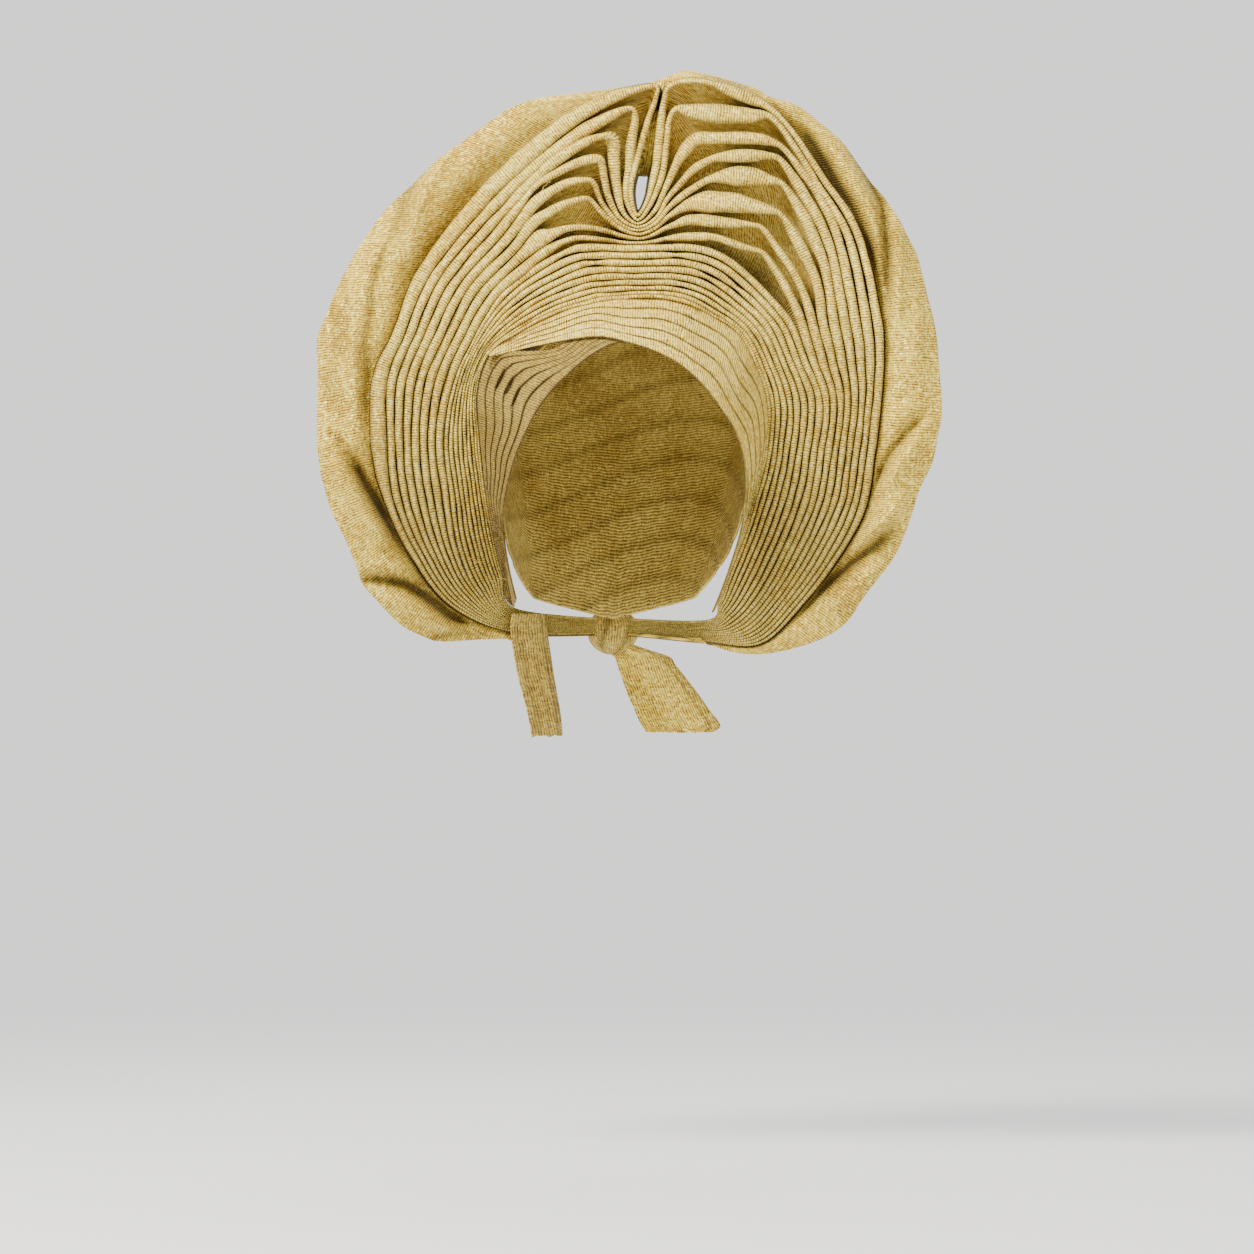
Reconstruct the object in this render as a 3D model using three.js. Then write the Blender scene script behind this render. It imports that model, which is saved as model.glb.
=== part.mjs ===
// A tied gele head tie: one long cloth wrapped round the head, pleated, fanned out and knotted at the nape.
// Millimetres, +Z up. The wearer faces -Y, +X is to the viewer's right, and the origin is the crown of the
// head, where the wrap rests. Every piece is a thin closed wall of cloth, worked out from the tables below.
import * as THREE from 'three';

// Cloth and layering
const WALL = 1.2; // folded cloth of the pleats
const BAND_WALL = 1.5; // two plies, as the bands and the brim are
const CROWN_WALL = 2.0; // the wrap round the skull, several plies pressed flat
const LAYER_GAP = 0.5; // air kept between pieces

// The fan of standing pleats. Fold 1 is next to the face, fold 17 is the outermost.
const FOLD_COUNT = 17;
const INNER_GROUP = 9; // folds 1 to 9 stay pressed together, 10 to 17 stand loose over the crown
const PLEAT_DEPTH = 15; // from a fold's front edge back to the valley beside it
const CREST_FRONT_Y = -64; // front of the loose folds over the crown
const GROUP_LAP = 0.1; // how far the loose folds' first furrow reaches in behind fold 9
const OUTER_TURN = { out: 2.2, deep: 8 }; // the wall's last turn, beyond fold 17
const CLEAR_OF_WRAP = 1.9; // air between the backs of the pleats and the wrap
const DEEPEST_WALL = 9; // most that one fold's wall takes up from front to back
const PINCH_BACK = 10; // how far the stitched pinch pulls them back
const PINCH_X = 6;

// One row for each section across the fan, from the left nape over the crown to the right nape.
// x1 y1 z1 is fold 1, x9 z9 is fold 9, x17 y17 z17 is fold 17, gap is the extra room between folds 9
// and 10, and rim is the free edge of the brim. depth is the share of PLEAT_DEPTH that the pleats have.
const FAN_COLUMNS = [
  'name', 'x1', 'y1', 'z1', 'x9', 'z9', 'x17', 'y17', 'z17', 'gap', 'rimX', 'rimY', 'rimZ', 'depth',
];
const LEFT_SIDE = [
  ['left_knot', -19, 73, -197, -19, -201, -19, 74, -205, 0.5, -19, 75, -209, 0.1],
  ['left_gather', -66, 36, -192, -66.5, -199, -67, 38, -205, 0.5, -67, 40, -210, 0.15],
  ['left_nape', -73, 20, -172, -86, -181, -101, 20, -190, 0, -112, 20, -211, 0.5],
  ['left_jaw', -78, 6, -150, -97, -158, -121, 2, -164, 0, -146, 2, -186, 0.75],
  ['left_ear', -82, -8, -125, -105, -129, -137, -14, -131, 0, -165, -12, -145, 1],
  ['left_temple', -85, -20, -97, -108, -97, -142, -28, -98, 0, -176, -24, -105, 1],
  ['left_brow', -87, -31, -70, -104, -66, -140, -38, -63, 0, -176, -34, -68, 1],
  ['left_crown', -79, -42, -49, -92, -41, -130, -46, -36, 0, -174, -42, -34, 1],
  ['left_arch', -62, -53, -37, -76, -18, -114, -54, -2, 0, -158, -48, 4, 1],
  ['left_shoulder', -41, -62, -26.5, -54, -2, -85, -60, 37, 0, -118, -53, 53, 1],
  ['left_top', -20, -67, -20.5, -32, 8, -55, -63, 67, 0.5, -72, -56, 85, 1],
];
const RIGHT_SIDE = [
  ['right_fall', 43, -62, -25, 58, 1, 112, -58, 44, 12, 130, -52, 58, 1],
  ['right_shoulder', 50, -60, -28.5, 66, -5, 134, -56, 4, 10, 163, -50, 2, 1],
  ['right_crown', 62, -54, -37, 90, -31, 140, -54, -31, 1, 172.5, -46, -34, 1],
  ['right_brow', 72, -45, -53, 99, -52, 141.5, -48, -52, 0, 176, -42, -62, 1],
  ['right_temple', 79.5, -35, -77, 108, -76, 140.5, -40, -75, 0, 176.5, -36, -86, 1],
  ['right_ear', 78, -24, -105, 105, -106, 137, -30, -108, 0, 171, -28, -116, 1],
  ['right_cheek', 73, -13, -126, 101, -130, 133, -20, -134, 0, 160, -18, -143, 1],
  ['right_jaw', 66, 2, -150, 91, -156, 121, -6, -159, 0, 144, -5, -175, 0.8],
  ['right_nape', 57, 16, -175, 77, -183, 101, 8, -187, 0, 124, 8, -200, 0.55],
  ['right_turn', 53, 25, -188, 62, -200, 76, 20, -211.5, 0, 84, 19, -217, 0.35],
  ['right_gather', 46, 37, -199, 45, -204.5, 45, 38, -210.5, 0.5, 44, 40, -214, 0.15],
  ['right_knot', 1, 73, -198, 1, -202, 1, 74, -206, 0.5, 1, 75, -210, 0.1],
];

// One row for each fold over the crown: its peak on the left, its flank down to the stitched pinch, the
// pinch, its climb on the right, and the hump from rise to corner. Rows 2 to 8 lie evenly between 1 and 9.
const CREST_COLUMNS = [
  'fold', 'peakX', 'peakZ', 'flankX', 'flankZ', 'dipZ', 'climbX', 'climbZ', 'riseX', 'riseZ',
  'cornerX', 'cornerZ',
];
const CREST = [
  [1, -9, -19, -1, -18.4, -18, 13, -18, 22, -18.6, 36, -22],
  [9, -22, 9.6, -8, 9.2, 8.8, 20, 9.2, 34, 9.4, 50, 5],
  [10, -30, 15.3, -12, 13.6, 12.4, 20, 13.6, 40, 16.2, 74, 6.5],
  [11, -34, 20.5, -11, 18.6, 15.7, 22, 19, 38, 25, 72, 22.5],
  [12, -24, 36, -12, 27, 18.4, 22, 25, 43, 36, 83, 28.5],
  [13, -23, 47.5, -12, 33, 20.4, 22, 30, 44, 47.5, 87, 44.5],
  [14, -21, 57, -8, 35, 22, 20.5, 34.5, 44, 58.5, 88, 57],
  [15, -15, 71.5, -5.5, 46, 23.4, 19, 42, 38, 69, 88, 67.5],
  [16, -1, 88, -0.5, 50, 24.8, 16.5, 50, 27, 86, 82, 81],
  [17, 12, 100, 3.4, 54, 26.4, 14, 56, 23.5, 100, 76, 92.5],
];
// The brim's free edge over the crown, and how its inner edge drops behind the stitched pinch.
const BRIM_TOP = [
  ['peak', 3, -43, 103],
  ['flank', 12, -46, 104],
  ['pinch', 19, -48, 105.5],
  ['climb', 26, -46, 108.5],
  ['rise', 33, -45, 110],
  ['corner', 84, -54, 96],
];
const TONGUE_COLUMNS = ['place', 'x', 'y', 'z'];
const BRIM_TONGUE = [[11, 12, -39, 100], [12, 12, -28, 82], [13, 17, -24, 64], [14, 21, -28, 82]];
// One row for each line along the brim: its share of the width, its furthest reach from fold 17, how far it
// is drawn back behind the fan, and how far it swells forward.
const BRIM_COLUMNS = ['share', 'reach', 'hidden', 'swell'];
const BRIM_PROFILE = [
  [0.04, 0.6, 1, 0], [0.5, 4.2, 0.9, 0], [0.65, 99, 0, 5], [0.82, 99, 0, 4], [1, 99, 0, 0],
];
const BEHIND_FAN = 10.5; // how far behind the last furrow it starts
// Soft dents: the section each lies at, how many sections long it is, where it lies across, and how deep.
const DENT_COLUMNS = ['section', 'length', 'share', 'depth'];
const BRIM_DENTS = [
  ['left_jaw', 1.1, 0.58, 9],
  ['left_nape', 0.8, 0.85, -5],
  ['left_ear', 0.7, 0.85, 6],
  ['left_shoulder', 1.2, 0.55, 7],
  ['right_shoulder', 1, 0.55, 6.5],
  ['right_jaw', 0.9, 0.72, 6.5],
  ['right_cheek', 0.6, 0.9, -4],
];

// One row for each section along a band: where its free hem on the face is, and how far short of fold 1 its
// other edge stops, as a share of the band's width.
const BAND_COLUMNS = ['section', 'hemX', 'hemY', 'hemZ', 'tuck'];
const OVER_BAND = [ // from the twist at the left temple, across the forehead, to the right nape
  ['left_crown', -74.5, -52.5, -50.5, 0.55],
  ['left_arch', -62, -51, -47, 0],
  ['left_shoulder', -40, -69, -42.5, 0],
  ['left_top', -20, -80, -41.3, 0],
  ['pinch', -3, -88, -44.5, 0],
  ['corner', 24, -91, -55.5, 0],
  ['right_fall', 33, -90, -62, 0],
  ['right_shoulder', 41, -86, -69, 0],
  ['right_crown', 51, -79, -80.5, 0],
  ['right_brow', 60.5, -68, -96, 0],
  ['right_temple', 66.5, -48, -117, 0],
  ['right_ear', 66.5, -29, -135, 0],
  ['right_cheek', 64, -16, -150, 0],
  ['right_jaw', 59, 3, -167, 0.2],
  ['right_nape', 53, 20, -184, 0.42],
  ['right_turn', 48.5, 29, -194.5, 0.7],
];
const UNDER_BAND = [ // from the middle of the forehead, under the other band, to the left nape
  ['left_top', 2, -83, -43, 0.6],
  ['left_shoulder', -12, -84, -46.5, 0.5],
  ['left_arch', -26, -84.5, -55.5, 0.56],
  ['left_crown', -40, -82.5, -69, 0.07],
  ['left_brow', -52, -76, -85, 0],
  ['left_temple', -63, -58, -107, 0],
  ['left_ear', -70, -31, -132, 0],
  ['left_jaw', -71, -10, -150, 0],
  ['left_nape', -68.5, 7, -168, 0],
  ['left_gather', -64, 24, -187, 0],
];
const CREST_STEPS = 3;
const BRIM_STEPS = 2;
const BAND_STEPS = 2;
const BAND_SHORT = 2.2; // the bands stop this far short of fold 1
const BAND_BULGE = 3;
const BAND_PLEATS = 5; // flat pleats pressed across each band
const PLEAT_STEP = 0.8; // how far one flat pleat stands over the next

// The head that the wrap is tied on: a half ellipsoid above DOME_BASE, then these sections down to the nape.
const DOME_BASE = -95;
const HEAD_COLUMNS = ['z', 'middleX', 'halfWidth', 'front', 'back'];
const HEAD = [
  [DOME_BASE, 0, 76, -98, 98],
  [-125, -2, 70, -94, 94],
  [-150, -4, 65, -84, 86],
  [-175, -7, 59, -70, 76],
  [-205, -10, 51, -52, 66],
];
// How low the crown wrap reaches at each bearing from the front, in degrees.
const WRAP_COLUMNS = ['bearing', 'hemZ'];
const WRAP_HEM = [[0, -30], [35, -36], [60, -60], [80, -110], [100, -160], [125, -186], [180, -198]];

const KNOT = { x: -9, y: 96, z: -205, halfX: 15, halfY: 11, halfZ: 14, lobes: 5, lobeDepth: 0.14 };
// One row for each height down a loose end: its two edges and how it curls.
const TAIL_COLUMNS = ['z', 'leftX', 'leftY', 'rightX', 'rightY', 'bow'];
const LEFT_TAIL = [
  [-195, -66, 28, -48, 44, 0], [-203, -67, 28, -47, 46, 1], [-216, -65.5, 30, -45, 50, 2],
  [-230, -63, 34, -43, 55, 2], [-242, -60, 38, -41, 59, 2], [-254, -57, 43, -39, 63, 2],
  [-266, -55, 47, -38, 66, 2],
];
const RIGHT_TAIL = [
  [-220, -8, 94, 24, 84, 3], [-225, -6, 94, 28, 82, 4], [-239, -1, 93, 39, 79, 6], [-251, 4, 92, 47.5, 77, 6],
  [-260, 8, 91, 54, 76, 5], [-264, 11, 90, 50, 77, 4],
];

const lerp = (a, b, t) => a + (b - a) * t;
const clamp = (v, lo, hi) => Math.min(hi, Math.max(lo, v));
const named = (columns, row) => Object.fromEntries(columns.map((c, i) => [c, row[i]]));
const table = (columns, rows) => rows.map((row) => named(columns, row));

// The value at t of a smooth curve through evenly numbered knots, each an array of numbers.
function curveAt(knots, t) {
  const i = clamp(Math.floor(t), 0, knots.length - 2);
  const u = t - i;
  const pick = (k) => knots[clamp(k, 0, knots.length - 1)];
  const [a, b, c, d] = [pick(i - 1), pick(i), pick(i + 1), pick(i + 2)];
  return b.map((_, k) => {
    const m0 = (c[k] - a[k]) / 2;
    const m1 = (d[k] - b[k]) / 2;
    const rise = c[k] - b[k];
    return b[k] + u * (m0 + u * ((3 * rise - 2 * m0 - m1) + u * (m0 + m1 - 2 * rise)));
  });
}

// The straight-line value of a table at a place along one of its columns.
function along(rows, key, place, want) {
  let i = 0;
  while (i < rows.length - 2 && (place - rows[i + 1][key]) * (rows[i + 1][key] - rows[i][key]) > 0) i += 1;
  const t = clamp((place - rows[i][key]) / (rows[i + 1][key] - rows[i][key]), 0, 1);
  return lerp(rows[i][want], rows[i + 1][want], t);
}

// A closed solid between two grids of points that face each other, joined round their edges.
function shell(front, back) {
  const rows = front.length;
  const cols = front[0].length;
  const points = [...front.flat(), ...back.flat()];
  const at = (r, c, side) => side * rows * cols + r * cols + c;
  const faces = [];
  const quad = (a, b, c, d) => faces.push(a, b, c, a, c, d);
  for (let r = 0; r < rows - 1; r += 1) {
    for (let c = 0; c < cols - 1; c += 1) {
      quad(at(r, c, 0), at(r + 1, c, 0), at(r + 1, c + 1, 0), at(r, c + 1, 0));
      quad(at(r + 1, c + 1, 1), at(r + 1, c, 1), at(r, c, 1), at(r, c + 1, 1));
    }
  }
  for (let r = 0; r < rows - 1; r += 1) {
    quad(at(r, 0, 0), at(r, 0, 1), at(r + 1, 0, 1), at(r + 1, 0, 0));
    quad(at(r, cols - 1, 0), at(r + 1, cols - 1, 0), at(r + 1, cols - 1, 1), at(r, cols - 1, 1));
  }
  for (let c = 0; c < cols - 1; c += 1) {
    quad(at(0, c, 0), at(0, c + 1, 0), at(0, c + 1, 1), at(0, c, 1));
    quad(at(rows - 1, c, 0), at(rows - 1, c, 1), at(rows - 1, c + 1, 1), at(rows - 1, c + 1, 0));
  }
  return solid(points, faces);
}

// Geometry from points and faces, turned so that its faces point out.
function solid(points, faces) {
  const v = (i) => new THREE.Vector3(...points[i]);
  let volume = 0;
  for (let i = 0; i < faces.length; i += 3) volume += v(faces[i]).dot(v(faces[i + 1]).cross(v(faces[i + 2])));
  if (volume < 0) {
    for (let i = 0; i < faces.length; i += 3) [faces[i], faces[i + 1]] = [faces[i + 1], faces[i]];
  }
  const geometry = new THREE.BufferGeometry();
  geometry.setAttribute('position', new THREE.Float32BufferAttribute(points.flat(), 3));
  geometry.setIndex(faces);
  geometry.computeVertexNormals();
  return geometry;
}

// The grid moved by a distance along its own normals, for a wall of even thickness.
function thicken(grid, distance) {
  const [lastRow, lastCol] = [grid.length - 1, grid[0].length - 1];
  const v = (r, c) => new THREE.Vector3(...grid[clamp(r, 0, lastRow)][clamp(c, 0, lastCol)]);
  return grid.map((row, r) => row.map((p, c) => {
    const down = v(r + 1, c).sub(v(r - 1, c));
    const across = v(r, c + 1).sub(v(r, c - 1));
    return v(r, c).addScaledVector(down.cross(across).normalize(), distance).toArray();
  }));
}

// The head's outline at one height, grown by a clearance.
function headAt(z, grow) {
  const rows = table(HEAD_COLUMNS, HEAD);
  if (z >= DOME_BASE) {
    const { halfWidth, front, back } = rows[0];
    const share = Math.sqrt(Math.max(0, 1 - ((z - DOME_BASE) / (grow - DOME_BASE)) ** 2));
    const halfDepth = (back - front) / 2;
    return { x: 0, y: (front + back) / 2, a: (halfWidth + grow) * share, b: (halfDepth + grow) * share };
  }
  const [x, a, front, back] = ['middleX', 'halfWidth', 'front', 'back'].map((k) => along(rows, 'z', z, k));
  return { x, y: (front + back) / 2, a: a + grow, b: (back - front) / 2 + grow };
}

// A point moved out sideways where it would lie inside the head grown by a clearance.
function clearOfHead([x, y, z], grow) {
  const h = headAt(z, grow);
  if (h.a < 1) return [x, y, z];
  const ratio = Math.hypot((x - h.x) / h.a, (y - h.y) / h.b);
  if (ratio >= 1) return [x, y, z];
  return [h.x + (x - h.x) / ratio, h.y + (y - h.y) / ratio, z];
}

// The knots [x, y, z, depth share] of one fold's front edge, from the left nape to the right nape.
function foldKnots(fold) {
  const spread = (row) => {
    const y = lerp(row.y1, row.y17, (fold - 1) / (FOLD_COUNT - 1));
    if (fold <= INNER_GROUP) {
      const t = (fold - 1) / (INNER_GROUP - 1);
      return [lerp(row.x1, row.x9, t), y, lerp(row.z1, row.z9, t), row.depth];
    }
    const reach = Math.hypot(row.x17 - row.x9, row.z17 - row.z9);
    const first = (reach / (FOLD_COUNT - INNER_GROUP) + row.gap) / reach;
    const t = lerp(first, 1, (fold - INNER_GROUP - 1) / (FOLD_COUNT - INNER_GROUP - 1));
    return [lerp(row.x9, row.x17, t), y, lerp(row.z9, row.z17, t), row.depth];
  };
  const crest = table(CREST_COLUMNS, CREST);
  const row = Object.fromEntries(CREST_COLUMNS.map((c) => [c, along(crest, 'fold', fold, c)]));
  const loose = clamp((fold - INNER_GROUP) / 3, 0, 1);
  const front = lerp(lerp(-69, -67, (fold - 1) / (INNER_GROUP - 1)), CREST_FRONT_Y, loose);
  const back = front + PINCH_BACK * loose;
  return [
    ...table(FAN_COLUMNS, LEFT_SIDE).map(spread),
    [row.peakX, front, row.peakZ, 1],
    [row.flankX, (front + back) / 2, row.flankZ, 1],
    [PINCH_X, back, row.dipZ, 0.8],
    [row.climbX, (front + back) / 2, row.climbZ, 1],
    [row.riseX, front, row.riseZ, 1],
    [row.cornerX, front, row.cornerZ, 1],
    ...table(FAN_COLUMNS, RIGHT_SIDE).map(spread),
  ];
}

// The sections in order, and the places along the folds where the faceted wall has its stations: one a
// section at the sides and CREST_STEPS over the crown, where the folds bend most.
const CREST_NAMES = ['peak', 'flank', 'pinch', 'climb', 'rise', 'corner'];
const SECTIONS = [...LEFT_SIDE.map((r) => r[0]), ...CREST_NAMES, ...RIGHT_SIDE.map((r) => r[0])];
const CREST_START = LEFT_SIDE.length - 1;
const CREST_END = LEFT_SIDE.length + CREST_NAMES.length;
const placesWith = (sideSteps) => SECTIONS.slice(0, -1).flatMap((_, k) => {
  const steps = k >= CREST_START && k < CREST_END ? CREST_STEPS : sideSteps;
  return Array.from({ length: steps }, (__, i) => k + i / steps);
}).concat(SECTIONS.length - 1);
const PLACES = placesWith(1);
const FOLDS = Array.from({ length: FOLD_COUNT }, (_, i) => foldKnots(i + 1));
const foldAt = (fold, place) => curveAt(FOLDS[clamp(fold, 1, FOLD_COUNT) - 1], place);

// A fold's front edge as the faceted wall has it: straight from one station to the next.
function foldChord(fold, place) {
  const after = PLACES.findIndex((p) => p > place + 1e-9);
  const i = after < 0 ? PLACES.length - 2 : after - 1;
  const t = clamp((place - PLACES[i]) / (PLACES[i + 1] - PLACES[i]), 0, 1);
  const [a, b] = [foldAt(fold, PLACES[i]), foldAt(fold, PLACES[i + 1])];
  return a.map((v, k) => lerp(v, b[k], t));
}

// How far back the pleats may reach at a point before they meet the crown wrap.
function roomBehind([x, y, z]) {
  const h = headAt(z, CROWN_WALL + LAYER_GAP);
  if (h.a < 1 || Math.abs(x - h.x) >= h.a) return Infinity;
  return h.y - h.b * Math.sqrt(1 - ((x - h.x) / h.a) ** 2) - y;
}

// The bottom of the furrow between two front edges.
const furrow = (a, b, t, deep) => ({
  point: a.map((v, k) => lerp(v, b[k], t)),
  deep: deep * lerp(a[3], b[3], t),
});

// The brim's free edge, and the way to it from fold 17.
const rimOf = (rows) => table(FAN_COLUMNS, rows).map((r) => [r.rimX, r.rimY, r.rimZ]);
const RIM = [LEFT_SIDE, RIGHT_SIDE].map(rimOf);
RIM.splice(1, 0, BRIM_TOP.map((row) => row.slice(1)));
function acrossBrim(place) {
  const ridge = foldChord(FOLD_COUNT, place);
  const edge = curveAt(RIM.flat(), place);
  const width = Math.hypot(edge[0] - ridge[0], edge[2] - ridge[2]);
  return { ridge, edge, width, wayX: (edge[0] - ridge[0]) / width, wayZ: (edge[2] - ridge[2]) / width };
}

// Beyond the last fold the wall turns back a little way, so that the brim can lie behind it.
function outerFurrow(place) {
  const { ridge, width, wayX, wayZ } = acrossBrim(place);
  const out = Math.min(OUTER_TURN.out, width * 0.15);
  const point = [ridge[0] + wayX * out, ridge[1], ridge[2] + wayZ * out];
  return { point, deep: OUTER_TURN.deep * ridge[3] };
}

// A zigzag wall of standing pleats from one fold to another.
function pleats(firstFold, lastFold) {
  const front = [];
  const back = [];
  for (const place of PLACES) {
    const line = [];
    for (let fold = firstFold; fold <= lastFold; fold += 1) {
      const ridge = foldAt(fold, place);
      if (fold > 1) {
        const inner = foldAt(fold - 1, place);
        const lap = -GROUP_LAP / Math.hypot(ridge[0] - inner[0], ridge[2] - inner[2]);
        line.push(furrow(inner, ridge, fold === firstFold ? lerp(0.4, lap, ridge[3]) : 0.5, PLEAT_DEPTH));
      }
      line.push({ point: ridge, deep: 0 });
    }
    if (lastFold === FOLD_COUNT) line.push(outerFurrow(place));
    const fitted = line.map(({ point, deep }, i) => {
      const room = roomBehind(point);
      const wall = Math.min(wallBehind(line, i), Math.max(0.7, room * 0.45));
      return { point, wall, deep: Math.min(deep, Math.max(0, room - wall - CLEAR_OF_WRAP)) };
    });
    front.push(fitted.map(({ point, deep }) => [point[0], point[1] + deep, point[2]]));
    back.push(fitted.map(({ point, deep, wall }) => [point[0], point[1] + deep + wall, point[2]]));
  }
  return shell(front, back);
}

// Measured front to back, a steep wall is thicker than the cloth it is made of.
function wallBehind(line, i) {
  const slope = (a, b) => Math.hypot(a.point[0] - b.point[0], a.point[2] - b.point[2])
    / Math.max(1, Math.abs(a.deep - b.deep));
  const least = Math.min(...[line[i - 1], line[i + 1]].filter(Boolean).map((n) => slope(line[i], n)));
  return clamp((WALL * Math.hypot(1, least)) / Math.max(0.05, least), WALL, DEEPEST_WALL);
}

// The wide smooth brim: it comes out from behind fold 17 and ends in a free edge, with soft dents.
function brim() {
  const tongue = table(TONGUE_COLUMNS, BRIM_TONGUE);
  const profile = table(BRIM_COLUMNS, BRIM_PROFILE);
  const dents = table(DENT_COLUMNS, BRIM_DENTS);
  const front = [];
  for (const place of placesWith(BRIM_STEPS)) {
    const { ridge, edge, width, wayX, wayZ } = acrossBrim(place);
    const behind = ridge[1] + OUTER_TURN.deep * ridge[3] + BEHIND_FAN * Math.max(0.75, ridge[3]);
    const row = profile.map(({ share, reach, hidden, swell }) => {
      const out = Math.min(reach, share * width);
      const dent = dents.reduce((sum, d) => sum + d.depth * Math.exp(
        -(((place - SECTIONS.indexOf(d.section)) / d.length) ** 2) - ((share - d.share) / 0.2) ** 2), 0);
      const y = lerp(lerp(ridge[1], edge[1], share), behind, hidden);
      const forward = (swell * ridge[3] - dent) * Math.min(1, width / 30);
      return [ridge[0] + wayX * out, y - forward, ridge[2] + wayZ * out];
    });
    for (const t of tongue.filter((to) => Math.abs(to.place - place) < 1)) {
      const pull = 1 - Math.abs(t.place - place);
      row.forEach((p, k) => {
        const stay = pull * (1 - k / (row.length - 1));
        p[0] += (t.x - ridge[0]) * stay;
        p[1] += (t.y - p[1]) * stay;
        p[2] += (t.z - ridge[2]) * stay;
      });
    }
    front.push(row);
  }
  return shell(front, front.map((row) => row.map(([x, y, z]) => [x, y + BAND_WALL, z])));
}

// The inner face of a band: flat pleats laid one over the next, from the hem on the face to fold 1.
function band(rows, lift) {
  const places = table(BAND_COLUMNS, rows).map((r) => SECTIONS.indexOf(r.section));
  const grid = [];
  for (let i = 0; i <= (rows.length - 1) * BAND_STEPS; i += 1) {
    const at = i / BAND_STEPS;
    const [hx, hy, hz, tuck] = curveAt(rows.map((r) => r.slice(1)), at);
    const k = Math.min(Math.floor(at), rows.length - 2);
    const [fx, fy, fz] = foldChord(1, lerp(places[k], places[k + 1], at - k));
    const width = Math.hypot(fx - hx, fz - hz);
    const end = 1 - Math.max(tuck, BAND_SHORT / width);
    const [rx, ry, rz] = [lerp(hx, fx, end), lerp(hy, fy + 1, end), lerp(hz, fz, end)];
    const line = [];
    for (let p = 0; p < BAND_PLEATS; p += 1) {
      for (const share of [0, 0.86]) {
        const t = (p + share) / BAND_PLEATS;
        const swell = BAND_BULGE * Math.sin(Math.PI * t) + PLEAT_STEP * (1 - share);
        const bulge = swell * clamp(1 - 3 * tuck, 0, 1);
        line.push(clearOfHead([lerp(hx, rx, t), lerp(hy, ry, t) - bulge, lerp(hz, rz, t)], lift));
      }
    }
    line.push(clearOfHead([rx, ry, rz], lift));
    grid.push(line);
  }
  return grid;
}

// The wrap round the skull, open at the face and the neck.
function crownWrap() {
  const hem = table(WRAP_COLUMNS, WRAP_HEM);
  const around = 36;
  const down = 8;
  const ring = (grow) => {
    const top = [0, 0, grow];
    const rings = [];
    for (let r = 1; r <= down; r += 1) {
      const line = [];
      for (let i = 0; i < around; i += 1) {
        const angle = (2 * Math.PI * i) / around;
        const bearing = Math.abs(((i / around) * 360 + 180) % 360 - 180);
        const low = along(hem, 'bearing', bearing, 'hemZ');
        const t = r / down;
        const z = grow + (low - grow) * (t < 1 ? 1 - Math.cos((t * Math.PI) / 2 * 0.94) + 0.094 * t : 1);
        const h = headAt(Math.min(z, grow - 0.05), grow);
        line.push([h.x + h.a * Math.sin(angle), h.y - h.b * Math.cos(angle), z]);
      }
      rings.push(line);
    }
    return { top, rings };
  };
  const outer = ring(CROWN_WALL);
  const inner = ring(0);
  const points = [outer.top, ...outer.rings.flat(), inner.top, ...inner.rings.flat()];
  const half = 1 + down * around;
  const at = (side, r, i) => side * half + 1 + r * around + (i % around);
  const faces = [];
  for (let i = 0; i < around; i += 1) {
    faces.push(0, at(0, 0, i), at(0, 0, i + 1));
    faces.push(half, at(1, 0, i + 1), at(1, 0, i));
    for (let r = 0; r < down - 1; r += 1) {
      faces.push(at(0, r, i), at(0, r + 1, i), at(0, r + 1, i + 1));
      faces.push(at(0, r, i), at(0, r + 1, i + 1), at(0, r, i + 1));
      faces.push(at(1, r, i), at(1, r + 1, i + 1), at(1, r + 1, i));
      faces.push(at(1, r, i), at(1, r, i + 1), at(1, r + 1, i + 1));
    }
    faces.push(at(0, down - 1, i), at(1, down - 1, i), at(1, down - 1, i + 1));
    faces.push(at(0, down - 1, i), at(1, down - 1, i + 1), at(0, down - 1, i + 1));
  }
  return solid(points, faces);
}

// The knot: a squashed ball with the lobes of the cloth drawn round it.
function knot() {
  const points = [];
  const faces = [];
  const rows = 12;
  const cols = 20;
  points.push([KNOT.x, KNOT.y, KNOT.z + KNOT.halfZ], [KNOT.x, KNOT.y, KNOT.z - KNOT.halfZ]);
  for (let r = 1; r < rows; r += 1) {
    for (let c = 0; c < cols; c += 1) {
      const polar = (Math.PI * r) / rows;
      const turn = (2 * Math.PI * c) / cols;
      const lobe = 1 - KNOT.lobeDepth * (0.5 + 0.5 * Math.cos(KNOT.lobes * turn + 2 * polar));
      points.push([
        KNOT.x + KNOT.halfX * lobe * Math.sin(polar) * Math.cos(turn),
        KNOT.y + KNOT.halfY * lobe * Math.sin(polar) * Math.sin(turn),
        KNOT.z + KNOT.halfZ * Math.cos(polar),
      ]);
    }
  }
  const at = (r, c) => 2 + (r - 1) * cols + (c % cols);
  for (let c = 0; c < cols; c += 1) {
    faces.push(0, at(1, c), at(1, c + 1), 1, at(rows - 1, c + 1), at(rows - 1, c));
    for (let r = 1; r < rows - 1; r += 1) {
      faces.push(at(r, c), at(r + 1, c), at(r + 1, c + 1), at(r, c), at(r + 1, c + 1), at(r, c + 1));
    }
  }
  return solid(points, faces);
}

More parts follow.
